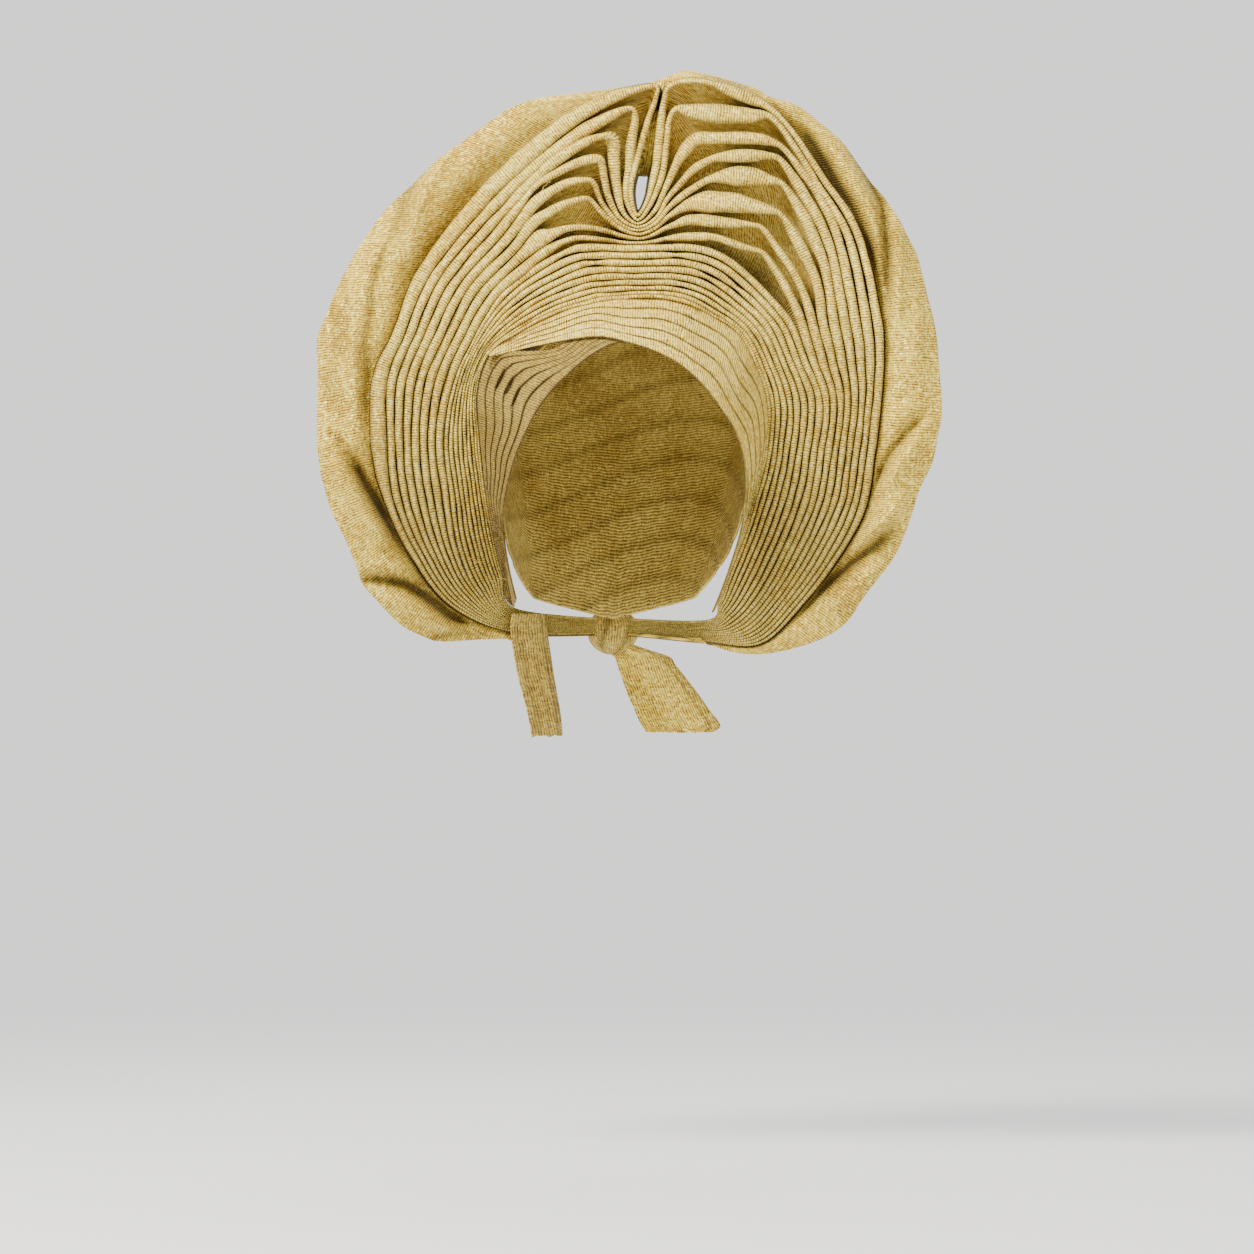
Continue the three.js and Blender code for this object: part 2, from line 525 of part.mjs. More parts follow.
// A loose end of the cloth hanging from the knot.
function tail(rows) {
  const knots = rows;
  const grid = [];
  for (let i = 0; i <= (rows.length - 1) * 2; i += 1) {
    const [z, lx, ly, rx, ry, bow] = curveAt(knots, i / 2);
    const line = [];
    for (let j = 0; j <= 6; j += 1) {
      const t = j / 6;
      line.push([lerp(lx, rx, t), lerp(ly, ry, t) + bow * Math.sin(2 * Math.PI * t), z]);
    }
    grid.push(line);
  }
  return shell(grid, grid.map((row) => row.map(([x, y, z]) => [x, y + BAND_WALL, z])));
}

const cloth = (name, colour, geometry) => {
  const material = new THREE.MeshStandardMaterial({ color: colour, roughness: 0.62, metalness: 0.15 });
  const mesh = new THREE.Mesh(geometry, material);
  mesh.name = name;
  return mesh;
};

const overBand = band(OVER_BAND, CROWN_WALL + BAND_WALL + 3 * LAYER_GAP);
const underBand = band(UNDER_BAND, CROWN_WALL + LAYER_GAP);

const gele = new THREE.Group();
gele.add(cloth('crown_wrap', 0xc4a878, crownWrap()));
gele.add(cloth('over_band', 0xd2b886, shell(overBand, thicken(overBand, BAND_WALL))));
gele.add(cloth('under_band', 0xccb080, shell(underBand, thicken(underBand, -BAND_WALL))));
gele.add(cloth('lower_pleats', 0xcfb684, pleats(1, INNER_GROUP)));
gele.add(cloth('crest_pleats', 0xcdb27e, pleats(INNER_GROUP + 1, FOLD_COUNT)));
gele.add(cloth('brim', 0xd6b56a, brim()));
gele.add(cloth('nape_knot', 0xc8aa70, knot()));
gele.add(cloth('left_tail', 0xc9ad78, tail(LEFT_TAIL)));
gele.add(cloth('right_tail', 0xcbac66, tail(RIGHT_TAIL)));
export default gele;
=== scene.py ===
"""A tied gele head tie of gold-threaded cloth: pleated fan, smooth brim, forehead bands, wrap, knot and ends.

Metres, +Z up, the face side is -Y. Tables are in millimetres, measured from the crown of the head.
"""
import math

import bpy
import numpy as np
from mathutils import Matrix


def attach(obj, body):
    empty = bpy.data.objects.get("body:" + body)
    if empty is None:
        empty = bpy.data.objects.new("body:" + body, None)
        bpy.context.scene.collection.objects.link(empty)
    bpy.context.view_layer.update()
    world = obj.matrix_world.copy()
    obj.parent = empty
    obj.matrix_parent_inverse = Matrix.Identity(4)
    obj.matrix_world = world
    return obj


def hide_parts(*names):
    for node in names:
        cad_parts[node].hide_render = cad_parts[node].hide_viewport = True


bl_info = {
    "name": "Tied gele head tie",
    "version": (1, 0, 0),
    "blender": (4, 5, 0),
    "location": "View3D > Sidebar > Gele",
    "description": "Builds the folds, brim, bands, wrap, knot and ends of a tied gele",
    "category": "Add Mesh",
}

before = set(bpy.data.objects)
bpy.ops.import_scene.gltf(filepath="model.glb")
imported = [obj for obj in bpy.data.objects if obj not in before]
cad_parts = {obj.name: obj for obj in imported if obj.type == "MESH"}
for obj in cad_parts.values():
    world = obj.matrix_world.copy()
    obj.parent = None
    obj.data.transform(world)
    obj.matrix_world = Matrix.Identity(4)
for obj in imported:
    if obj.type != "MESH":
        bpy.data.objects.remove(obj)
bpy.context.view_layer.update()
MM = 0.001

# Tables, all in millimetres.

# One row for each section across the fan, from the left nape up and over to the right nape: the front edges of
# folds 1, 9, 10 and 17, how far back folds 1 and 17 stand, the share of the full pleat depth, and half the
# width of fold 17.
# Columns: name, x1, z1, x9, z9, x10, z10, x17, z17, y1, y17, depth, half17.
LEFT_SECTIONS = (
    ("left_knot", -17, -198, -17, -202, -17, -202.5, -17, -206, 88, 89, 0.10, 0.4),
    ("left_gather", -66, -192, -66.5, -199, -66.6, -199.8, -67, -205, 36, 38, 0.15, 0.5),
    ("left_nape", -73, -172, -86, -181, -88, -182, -101, -190, 20, 20, 0.50, 1.0),
    ("left_jaw", -78, -150, -96, -157, -99, -158.5, -121, -164, 6, 2, 0.75, 1.8),
    ("left_ear", -82, -125, -100, -128, -103.6, -128.8, -136, -131, -8, -14, 1.0, 2.6),
    ("left_temple", -85, -97, -103, -97, -106.8, -97, -141, -98, -20, -28, 1.0, 4.6),
    ("left_brow", -86, -70, -98, -67, -101.5, -66, -140, -63, -31, -38, 1.0, 4.2),
    ("left_crown", -79, -49, -87, -42, -90.3, -40.6, -129, -37, -42, -46, 1.0, 3.2),
    ("left_arch", -62, -37, -72, -19, -76, -17.2, -114, -2.5, -53, -54, 1.0, 3.8),
    ("left_shoulder", -41, -26.5, -54, -4, -58, -1.5, -84, 35, -62, -60, 1.0, 4.6),
)
RIGHT_SECTIONS = (
    ("right_crown", 62, -37, 90, -31, 97, -30.5, 140, -31, -54, -54, 1.0, 2.4),
    ("right_brow", 72, -53, 99, -52, 104, -52, 141.5, -52, -45, -48, 1.0, 2.4),
    ("right_temple", 79.5, -77, 108, -76, 112, -76, 140.5, -75, -35, -40, 1.0, 2.4),
    ("right_ear", 78, -105, 105, -106, 109, -106, 137, -108, -24, -30, 1.0, 2.3),
    ("right_cheek", 73, -126, 101, -130, 105, -130.5, 133, -134, -13, -20, 1.0, 2.2),
    ("right_jaw", 66, -150, 91, -156, 94.5, -156.5, 121, -159, 2, -6, 0.8, 1.8),
    ("right_nape", 57, -175, 77, -183, 80, -183.5, 101, -187, 16, 8, 0.55, 1.2),
    ("right_turn", 53, -188, 62, -200, 63.8, -201.5, 76, -211.5, 25, 20, 0.35, 0.8),
    ("right_gather", 46, -199, 45, -204.5, 45, -205.5, 45, -210.5, 37, 38, 0.15, 0.4),
    ("right_knot", -1, -198, -1, -202, -1, -202.5, -1, -206, 88, 89, 0.10, 0.4),
)
# Folds 1 and 9 over the forehead, at places between the left and the right sections.
# Columns: name, x1, z1, x9, z9, y.
FOREHEAD = (
    ("left_top", -20, -20.5, -33, 7.4, -67),
    ("peak", -9, -19, -20, 9.4, -69),
    ("pinch", 6, -18, 6, 8.8, -69),
    ("rise", 22, -18.6, 32, 9.4, -68),
    ("corner", 36, -22, 50, 5.5, -65),
    ("fall", 48, -28, 69, -8, -60),
)
# How far back the loose folds stand at each place over the crown.
CREST_PLACES = ("slope", "ascent", "ascent_high", "peak", "turn", "flank_high", "flank_low", "neck", "pinch",
                "neck_right", "climb_low", "climb", "climb_high", "rise", "hump", "crest_left", "crest",
                "crest_right", "corner", "drop", "fall", "shoulder")
CREST_Y = (-61, -63, -65, -67, -65, -62, -59, -56.5, -55,
           -56, -58, -61, -64, -67, -68, -68, -67,
           -66, -64, -61, -58, -56)
# One row for each loose fold over the crown: x, z and half the width of its nose at every place above.
CREST = {
    10: ((-44, 9, 2.6), (-36, 13, 1.9), (-28, 15, 1.7), (-20, 14.6, 1.5), (-16, 14.2, 1.4), (-12, 13.9, 1.3),
         (-8, 13.5, 1.2), (-3, 12.9, 1.1), (6, 12.4, 1.0), (14, 13.3, 1.1), (21, 14.9, 1.4), (27, 15.4, 2.2),
         (33, 15.6, 2.6), (40, 15.7, 2.6), (47, 15.3, 1.9), (55, 13, 2.1), (62, 10.8, 2.0), (69, 8.8, 1.5),
         (75.5, 6.6, 1.4), (82, -2, 2.2), (87.5, -11, 2.3), (93, -21, 2.2)),
    11: ((-50, 14, 5.0), (-43, 17, 3.4), (-35, 20.2, 1.9), (-27, 20.8, 1.6), (-20, 20.5, 1.6), (-14, 19.6, 1.6),
         (-9, 18.3, 1.4), (-3, 16.4, 1.2), (6, 15.4, 1.0), (14, 17.3, 1.1), (21, 20.8, 1.3), (27, 22.9, 1.9),
         (33, 24.8, 2.9), (40, 24.8, 3.5), (47, 24.2, 3.4), (55, 23.4, 3.0), (62, 22.9, 2.3), (69, 22.3, 1.6),
         (75, 20.5, 1.6), (83, 10, 2.2), (91, -1, 2.3), (98, -14, 2.2)),
    12: ((-54, 23, 3.4), (-44, 29.5, 2.8), (-34, 34.5, 2.2), (-24, 37, 1.5), (-20.5, 35.6, 1.5), (-16, 30.6, 1.5),
         (-11, 25.8, 1.5), (-4, 20.6, 1.2), (6, 17.7, 0.9), (15, 20.8, 1.1), (22, 26.8, 1.4), (29, 31.2, 2.2),
         (36, 34, 4.2), (44, 35.2, 5.9), (52, 35, 6.0), (60, 34.4, 5.8), (69, 32.8, 4.4), (78, 30.6, 2.6),
         (86, 27.6, 1.5), (94, 15, 3.2), (101.5, 1, 3.2), (107, -14, 2.6)),
    13: ((-54, 33, 3.4), (-44, 40.5, 2.9), (-33, 46, 2.3), (-22.5, 47.2, 1.7), (-18.6, 44.5, 1.6),
         (-16.6, 39.5, 1.5),
         (-13, 32.5, 1.4), (-5, 23.8, 1.2), (6, 19.8, 0.8), (15.5, 23.8, 1.1), (22, 31.5, 1.4), (29, 37.5, 1.9),
         (36, 42.5, 2.0), (45, 47.5, 2.1), (54, 49.3, 4.2), (62, 49.4, 5.5), (70, 49, 5.2), (78, 47.4, 3.4),
         (86.5, 44.8, 1.7), (97, 30, 3.3), (105.5, 12, 3.3), (111.5, -5, 2.8)),
    14: ((-54, 42, 1.8), (-43, 50, 2.2), (-27, 57.5, 2.6), (-17, 59, 2.6), (-14.6, 55, 2.3), (-13.2, 48, 2.1),
         (-10.5, 37, 1.9), (-4.4, 26.8, 1.2), (6, 21.6, 0.8), (16, 27, 1.2), (22, 37, 1.5), (29.5, 46, 1.9),
         (37, 53.6, 2.2), (47, 58.9, 2.2), (54, 60, 3.0), (61, 60.5, 3.8), (70, 61, 3.4), (78, 61, 2.3),
         (86, 58, 1.8), (97, 42, 3.2), (106.5, 26, 3.0), (114.5, 6, 2.7)),
    15: ((-55, 46, 3.0), (-40, 58.6, 3.2), (-25, 68, 2.7), (-14, 71.8, 1.8), (-8.8, 70, 4.2), (-8, 60, 3.7),
         (-6.6, 46, 2.8), (-3, 30.5, 1.5), (5.6, 23.4, 0.8), (15, 31, 1.3), (20.5, 42, 1.7), (27, 56, 2.4),
         (33.5, 66, 4.0), (39, 70.4, 3.8), (47, 70.6, 3.4), (56, 70.8, 3.5), (66, 70.6, 3.6), (76, 69.6, 2.8),
         (86, 66, 1.6), (97, 53, 2.2), (107.5, 38, 2.4), (118, 15, 2.6)),
    16: ((-56, 52, 3.4), (-34, 69, 3.5), (-15, 80.5, 3.6), (1, 87.4, 1.4), (4, 82, 2.0), (2, 70, 2.8),
         (0.4, 54, 2.4), (-1, 38, 1.8), (5.3, 25.6, 0.8), (13.6, 36, 1.4), (19.6, 53, 1.9), (21.8, 70, 1.8),
         (23.2, 81, 1.5), (27, 87, 1.8), (35, 85.8, 4.2), (46, 84.6, 5.2), (57, 84, 5.2), (68, 83.2, 4.2),
         (80, 82.6, 1.8), (92, 68, 1.9), (106, 46, 2.1), (124, 15, 2.3)),
    17: ((-66, 53, 5.0), (-38, 77, 4.6), (-10, 93, 3.4), (14, 99.6, 1.3), (15.4, 93, 1.3), (10.6, 79, 1.8),
         (5, 60, 1.9), (1.6, 42, 1.5), (5, 28.4, 1.0), (11.4, 38, 1.3), (15.6, 55, 2.4), (17.8, 73, 2.6),
         (20, 90, 1.7), (23.4, 100, 1.4), (36, 102.4, 1.5), (47, 101, 1.6), (58, 96.6, 3.2), (69, 92.6, 3.0),
         (80, 87, 1.9), (92, 74.5, 1.6), (109, 49.5, 1.9), (129, 17.5, 2.2)),
}
# The halo's free edge, clockwise from the left nape, and how far back it stands there. Columns: x, z, y.
RIM = (
    (-66, -209.5, 40), (-85, -210, 33), (-108, -211, 22), (-120, -207, 17), (-128, -203, 13), (-135, -197, 9),
    (-143, -188, 4), (-150, -180, 0), (-155, -168, -4), (-160, -155, -8), (-168, -138, -13), (-172, -125, -17),
    (-175, -110, -22), (-176, -88, -28), (-175, -60, -35), (-175, -40, -40), (-170, -28, -42), (-163, -10, -45),
    (-155, 5, -47), (-145, 20, -49), (-135, 33, -50), (-120, 47, -52), (-110, 57, -53), (-95, 68, -54),
    (-80, 79, -55), (-65, 89, -55), (-50, 94, -54), (-30, 97, -50), (-10, 100, -46), (10, 103, -45), (20, 106, -46),
    (31, 110, -46), (45, 108, -48), (60, 104, -50), (72, 100, -52), (80, 95, -53), (95, 90, -54), (108, 80, -54),
    (120, 70, -53), (130, 57, -52), (140, 43, -51), (150, 30, -50), (158, 15, -49), (163, 5, -48), (168, -15, -47),
    (173, -35, -45), (175, -55, -43), (177, -80, -38), (175, -95, -34), (172, -110, -30), (165, -125, -25),
    (160, -142, -19), (153, -160, -11), (145, -172, -6), (135, -185, 1), (125, -200, 8), (112, -209, 13),
    (95, -215, 18), (80, -218, 21), (65, -218, 27), (50, -214, 36), (42, -209, 40),
)
# Where a section of the fan meets the rim, how deep and how wide the valley beside fold 17 is there, and how
# far the brim swells forward between the valley and the rim.
# Columns: name, rim_x, rim_z, valley, wide, swell.
BRIM = (
    ("left_knot", -66, -209.5, 1, 1, 0), ("left_gather", -70, -209.7, 1, 2, 0), ("left_nape", -114, -210, 4, 4, 3),
    ("left_jaw", -146, -185, 8, 5, 5), ("left_ear", -166, -143, 8, 5, 4), ("left_temple", -176, -105, 5, 6, 4),
    ("left_brow", -175.5, -68, 4, 7, 4), ("left_crown", -173, -34, 6, 6, 4), ("left_arch", -159, 0, 9, 9, 4),
    ("left_shoulder", -128, 41, 9, 13, 4), ("slope", -100, 65, 8, 14, 3), ("ascent", -60, 91, 7, 10, 1),
    ("ascent_high", -20, 98.5, 5, 5, 0), ("peak", 8, 102.6, 4, 2, 0), ("turn", 11, 103.2, 8, 3, 0),
    ("flank_high", 13, 103.8, 10, 8, 0), ("flank_low", 15, 104.3, 12, 14, 0), ("neck", 17, 105, 12, 16, 0),
    ("pinch", 20, 106, 12, 16, 0), ("neck_right", 22, 106.8, 12, 16, 0), ("climb_low", 24, 107.5, 12, 14, 0),
    ("climb", 26, 108.3, 10, 8, 0), ("climb_high", 28, 109, 8, 4, 0), ("rise", 31, 110, 4, 2, 0),
    ("hump", 42, 108.6, 6, 4, 0), ("crest_left", 54, 105.7, 8, 6, 0), ("crest", 66, 102.2, 10, 8, 0),
    ("crest_right", 78, 96.4, 10, 7, 1), ("corner", 92, 91.3, 10, 6, 2), ("drop", 110, 78.4, 9, 5, 3),
    ("fall", 133, 53, 10, 8, 4), ("shoulder", 154, 22.5, 10, 8, 4), ("right_crown", 172, -32, 8, 5, 4),
    ("right_brow", 174.5, -52, 6, 5, 4), ("right_temple", 176.7, -77, 5, 5, 4), ("right_ear", 172.5, -108, 5, 5, 4),
    ("right_cheek", 162, -136, 5, 5, 4), ("right_jaw", 145, -172, 5, 5, 4), ("right_nape", 122, -202, 4, 4, 2),
    ("right_turn", 85, -217, 2, 3, 1), ("right_gather", 46, -211.5, 1, 2, 0), ("right_knot", 42, -209, 1, 1, 0),
)
# Painted shade: the folds and the brim are painted darker towards the nape, where less light falls: the height
# where that starts, over what height, how much.
LOW_PAINTED_SHADE = (-20, 130, 0.46)
BRIM_PAINTED_SHADE = (-90, 100, 0.22)
# A crease fades out over this share of its line, at each end.
CREASE_FADE = 0.2
# Over the pinch the brim's inner edge stops at this height, between these two places.
TONGUE_Z = 51
TONGUE_X = (5.5, 15.0)
# Creases and rolls of the brim: a line of x, z points, how deep it is pressed in (a roll is negative), how wide
# it is, and how much painted shade lies in it.
CREASES = (
    (((-171, -92), (-165, -95), (-160, -101)), 4, 2.5, 0.45),
    (((-163, -99), (-156, -108), (-150, -120), (-140, -137), (-129, -151), (-113, -169)), 13, 3.6, 1.0),
    (((-174, -104), (-161, -120), (-149, -139), (-134, -160)), -8, 6, 0),
    (((-176, -56), (-168, -72), (-160, -90)), 3, 6, 0.30),
    (((-176, -104), (-168, -98), (-160, -98)), -3, 4, 0),
    (((-153, -176), (-147, -175), (-140, -175)), 4, 2.5, 0.5),
    (((-150, -176), (-138, -175.5), (-127, -178), (-117, -184.5), (-103, -196), (-84, -205)), 9, 3.4, 1.0),
    (((-150, -169), (-138, -169), (-124, -170)), -3, 5, 0),
    (((-146, -186), (-128, -190), (-112, -198), (-98, -206)), -6, 5, 0),
    (((-120, -209), (-95, -206), (-74, -208)), 3, 2.5, 0.5),
    (((-163, -5), (-154, -50), (-152, -95)), -3, 6, 0),
    (((-132, 22), (-142, -8), (-147, -45), (-148, -98)), 5, 4, 0.45),
    (((-104, 78), (-118, 56), (-126, 34), (-130, 8)), 6, 5, 0.5),
    (((-96, 70), (-112, 46), (-122, 20)), -5, 4, 0),
    (((-166, 20), (-158, -20), (-161, -58)), 4, 6, 0.35),
    (((-172, -10), (-168, -40), (-166, -70)), -4, 5, 0),
    (((-110, 52), (-128, 30), (-143, 0), (-150, -30)), -3, 7, 0),
    (((90, 90), (110, 58), (124, 32), (134, 10), (141, -16)), 7, 3.8, 0.9),
    (((103, 84), (126, 52), (140, 14), (146, -40)), -3, 5, 0),
    (((119, 76), (133, 54), (143, 35), (146, 8), (145, -30)), 8, 3.4, 0.9),
    (((150, 30), (152, 5), (151, -30)), -5, 4, 0),
    (((170, -80), (158, -91), (149, -103), (138, -124)), 7, 3.2, 0.7),
    (((166, -96), (154, -110), (144, -128)), -5, 4, 0),
    (((160, -60), (164, -30), (158, 0)), -3, 6, 0),
    (((158, -140), (142, -155), (126, -168), (106, -184), (90, -200)), 8, 3.8, 0.85),
    (((160, -122), (146, -142), (128, -157)), -5, 5, 0),
    (((150, -164), (130, -180), (112, -194)), -4, 4, 0),
    (((-60, 88), (-40, 90), (-15, 96)), 3, 5, 0.2),
    (((38, 109), (52, 105), (66, 101), (74, 97)), 4, 4, 0.55),
)
# Places along the forehead where two folds part: the fold, x, z, how long the slit is and its share of the fold.
SLITS = (
    (8, -25, -2, 5, 0.5), (8, 27, 4, 5, 0.5), (5, -40, -9, 4, 0.45), (9, -38, 8, 5, 0.4), (7, -18, 1, 4, 0.4),
    (6, 44, -8, 5, 0.4), (4, 30, -13, 4, 0.35), (3, 52, -30, 5, 0.4), (7, 60, -14, 5, 0.4), (6, -60, -22, 6, 0.4),
)
# One row for each section along a band: its free hem on the face, and how far short of fold 1 its other edge
# stops, as a share of its width.
# Columns: name, hem_x, hem_y, hem_z, tuck.
OVER_BAND = (
    ("left_crown", -78, -50, -50.5, 0.30), ("left_arch", -62, -53, -47.4, 0), ("left_shoulder", -40, -69, -43.5, 0),
    ("left_top", -20, -80, -41.2, 0), ("peak", -9, -84, -42.2, 0), ("pinch", 6, -89, -46.4, 0),
    ("rise", 20, -91, -52.2, 0), ("corner", 31, -90, -58.8, 0), ("fall", 42, -86.5, -69, 0),
    ("right_crown", 53, -79, -83, 0), ("right_brow", 61.5, -68, -97, 0), ("right_temple", 66.5, -48, -117, 0),
    ("right_ear", 66.5, -29, -135, 0), ("right_cheek", 64, -16, -150, 0), ("right_jaw", 59, 3, -167, 0.2),
    ("right_nape", 53, 20, -184, 0.42), ("right_turn", 48.5, 29, -194.5, 0.7),
)
UNDER_BAND = (
    ("left_top", 2, -83, -43, 0.6), ("left_shoulder", -12, -84, -46.5, 0.5), ("left_arch", -26, -84.5, -55.5, 0.56),
    ("left_crown", -40, -82.5, -69, 0), ("left_brow", -52, -76, -85, 0), ("left_temple", -63, -58, -107, 0),
    ("left_ear", -70, -31, -132, 0), ("left_jaw", -71, -10, -150, 0), ("left_nape", -68.5, 7, -168, 0),
    ("left_gather", -64, 24, -187, 0),
)
# Small puckers pressed into the bands: x, z points, depth and width.
OVER_PUCKERS = (
    (((37, -25), (42, -28)), 1.6, 1.1), (((31, -27), (38, -32)), 1.2, 1.0), (((60, -27), (64, -30)), 1.4, 1.1),
    (((-70, -43), (-55, -40)), 1.0, 1.2),
)
UNDER_PUCKERS = (
    (((-68, -56), (-71, -63), (-75, -70)), 3.0, 0.9), (((-63.5, -61), (-66, -68), (-69, -73)), 2.8, 0.9),
    (((-60, -68), (-63, -75), (-66, -81)), 2.6, 0.8), (((-77, -53), (-77.5, -58)), 1.6, 1.0),
)
# Stray threads: where each comes out of a fold, the way it goes, how long it is and how far it falls.
# Columns: x, z, way_x, way_y, way_z, length, sag.
THREADS = (
    (-43, 47, -0.8, -0.4, -0.5, 7, 2),
    (-45, 49, -0.9, -0.3, 0.2, 5, 1),
    (-98, -160, 0.6, -0.8, 0.1, 9, 2),
    (-92, -163, 0.9, -0.4, -0.2, 11, 2),
    (-82, -174, 0.7, -0.7, -0.1, 9, 3),
    (-76, -175, 0.9, -0.4, 0.1, 9, 3),
    (124, -103, 0.5, -0.8, 0.3, 6, 1),
    (126, -106, -0.4, -0.8, -0.4, 5, 2),
    (133, -20, -0.5, -0.8, 0.3, 5, 1),
)
# The head that the wrap is tied on: a half ellipsoid above the first row, then these sections down to the nape.
# Columns: z, middle_x, half_width, front, back.
HEAD_DEEP = 95
HEAD_HALF_X = 76
HEAD_HALF_Y = 98
HEAD = ((-HEAD_DEEP, 0, HEAD_HALF_X, -HEAD_HALF_Y, HEAD_HALF_Y), (-125, -2, 70, -94, 94),
        (-150, -4, 65, -84, 86), (-175, -7, 59, -70, 76), (-205, -10, 51, -52, 66))
# How low the wrap reaches at each bearing from the front, in degrees.
WRAP_HEM = ((0, -30), (35, -36), (60, -60), (80, -110), (100, -160), (125, -186), (180, -198))
KNOT = {"x": -9, "y": 96, "z": -205, "half_x": 15, "half_y": 11, "half_z": 14, "weave_x": 13, "weave_z": 14}
# One row for each height down a loose end: its two edges and how far it curls.
# Columns: z, left_x, left_y, right_x, right_y, bow.
LEFT_TAIL = ((-195, -66, 28, -48, 44, 0), (-203, -67, 28, -47, 46, 1), (-216, -65.5, 30, -45, 50, 2),
             (-230, -63, 34, -43, 55, 2), (-242, -60, 38, -41, 59, 2), (-254, -57, 43, -39, 63, 2),
             (-266, -55, 47, -38, 66, 2))
RIGHT_TAIL = ((-211, -16, 97, -2, 94, 0), (-215, -13, 96, 9, 90, 1), (-220, -8, 94, 24, 84, 3),
              (-225, -6, 94, 28, 82, 4), (-239, -1, 93, 39, 79, 6), (-251, 4, 92, 47.5, 77, 6),
              (-260, 8, 91, 54, 76, 5), (-264, 11, 90, 50, 77, 4))


# Curves and grids.

def smooth_curve(knots, t):
    """Catmull-Rom: each stretch is the cubic whose end slopes are half the chord of the neighbouring knots."""
    knots = np.asarray(knots, float)
    t = np.asarray(t, float)
    last = len(knots) - 1
    i = np.clip(np.floor(t).astype(int), 0, last - 1)
    u = (t - i)[:, None]
    a, b, c, d = (knots[np.clip(i + k, 0, last)] for k in (-1, 0, 1, 2))
    m0, m1 = (c - a) / 2, (d - b) / 2
    return b + u * (m0 + u * ((3 * (c - b) - 2 * m0 - m1) + u * (m0 + m1 - 2 * (c - b))))


def waves(seed, t, lengths, size):
    """A sum of sines of the given wavelengths, with phases that the seed fixes, scaled to about size."""
    rng = np.random.default_rng(seed)
    t = np.asarray(t, float)
    total = np.zeros_like(t)
    for length in lengths:
        total += np.sin(2 * np.pi * (t / length + rng.random()))
    return size * total / math.sqrt(len(lengths))


def run_length(points):
    """Distance run along a line of points."""
    steps = np.linalg.norm(np.diff(points, axis=0), axis=1)
    return np.concatenate([[0], np.cumsum(steps)])


def table_curve(rows, columns, t):
    """Columns of a table, given by their numbers, as smooth curves of the row number."""
    picked = np.array([[row[k] for k in columns] for row in rows], float)
    return smooth_curve(picked, t)


def soften(values, passes):
    """Repeated averaging of each value with its two neighbours along the first axis."""
    for _ in range(passes):
        padded = np.concatenate([values[:1], values, values[-1:]])
        values = (padded[:-2] + 2 * padded[1:-1] + padded[2:]) / 4
    return values


def between(start, end, share):
    """Values that run from start to end across a surface, a row of them for each place along it."""
    return start[:, None] + (end - start)[:, None] * share


def weave_map(run, grid):
    """The weave map of a surface: how far along it each row lies, and the distance travelled across it."""
    steps = np.cumsum(np.linalg.norm(np.diff(grid, axis=1), axis=2), axis=1)
    travel = np.concatenate([np.zeros((len(grid), 1)), steps], axis=1)
    return np.stack([np.broadcast_to(run[:, None], travel.shape), travel], axis=-1)


def head_rows(z):
    """The head's middle x, half width, front and back at heights below its half ellipsoid."""
    rows = np.array(HEAD, float)
    return [np.interp(-z, -rows[:, 0], rows[:, k]) for k in range(1, 5)]


def head_front(x, z, grow):
    """The y of the head's front at x, z, grown by a clearance: half ellipses, one for each height."""
    share = np.sqrt(np.clip(1 - ((z + HEAD_DEEP) / (HEAD_DEEP + grow)) ** 2, 1e-6, 1))
    low_x, low_half, front, back = head_rows(z)
    above = z > -HEAD_DEEP
    middle_x = np.where(above, 0, low_x)
    half = np.where(above, (HEAD_HALF_X + grow) * share, low_half + grow)
    deep = np.where(above, (HEAD_HALF_Y + grow) * share, (back - front) / 2 + grow)
    middle_y = np.where(above, 0, (front + back) / 2)
    inside = np.clip(1 - ((x - middle_x) / half) ** 2, 0, 1)
    return np.where(inside > 0, middle_y - deep * np.sqrt(inside), 1e6)


def nearest_on(points, x, z):
    """How far x, z lie from a line of points, how far along it the nearest places are, and the line's length."""
    points = np.array(points, float)
    way = run_length(points)
    nearest, along = np.full_like(x, 1e9), np.zeros_like(x)
    for number, ((ax, az), (bx, bz)) in enumerate(zip(points[:-1], points[1:])):
        dx, dz = bx - ax, bz - az
        t = np.clip(((x - ax) * dx + (z - az) * dz) / (dx * dx + dz * dz), 0, 1)
        gap = np.hypot(x - ax - t * dx, z - az - t * dz)
        along = np.where(gap < nearest, way[number] + t * (way[number + 1] - way[number]), along)
        nearest = np.minimum(nearest, gap)
    return nearest, along, way[-1]


def pressed(x, z, lines, kind=0):
    """How far creases press a surface in, or how much shade is painted in them: a pointed bell of the distance to
    each line.

    For each line: its depth (kind 0) or painted shade (kind 2) times exp(-(distance / width) ** 1.5), which fades
    over the first and the last CREASE_FADE of the line.
    """
    total = np.zeros_like(x)
    for points, *sizes in lines:
        width = sizes[1]
        nearest, along, whole = nearest_on(points, x, z)
        along = along / whole
        fade = np.clip(along / CREASE_FADE, 0.15, 1) * np.clip((1 - along) / CREASE_FADE, 0.15, 1)
        total += sizes[kind] * fade * np.exp(-((nearest / width) ** 1.5))
    return total


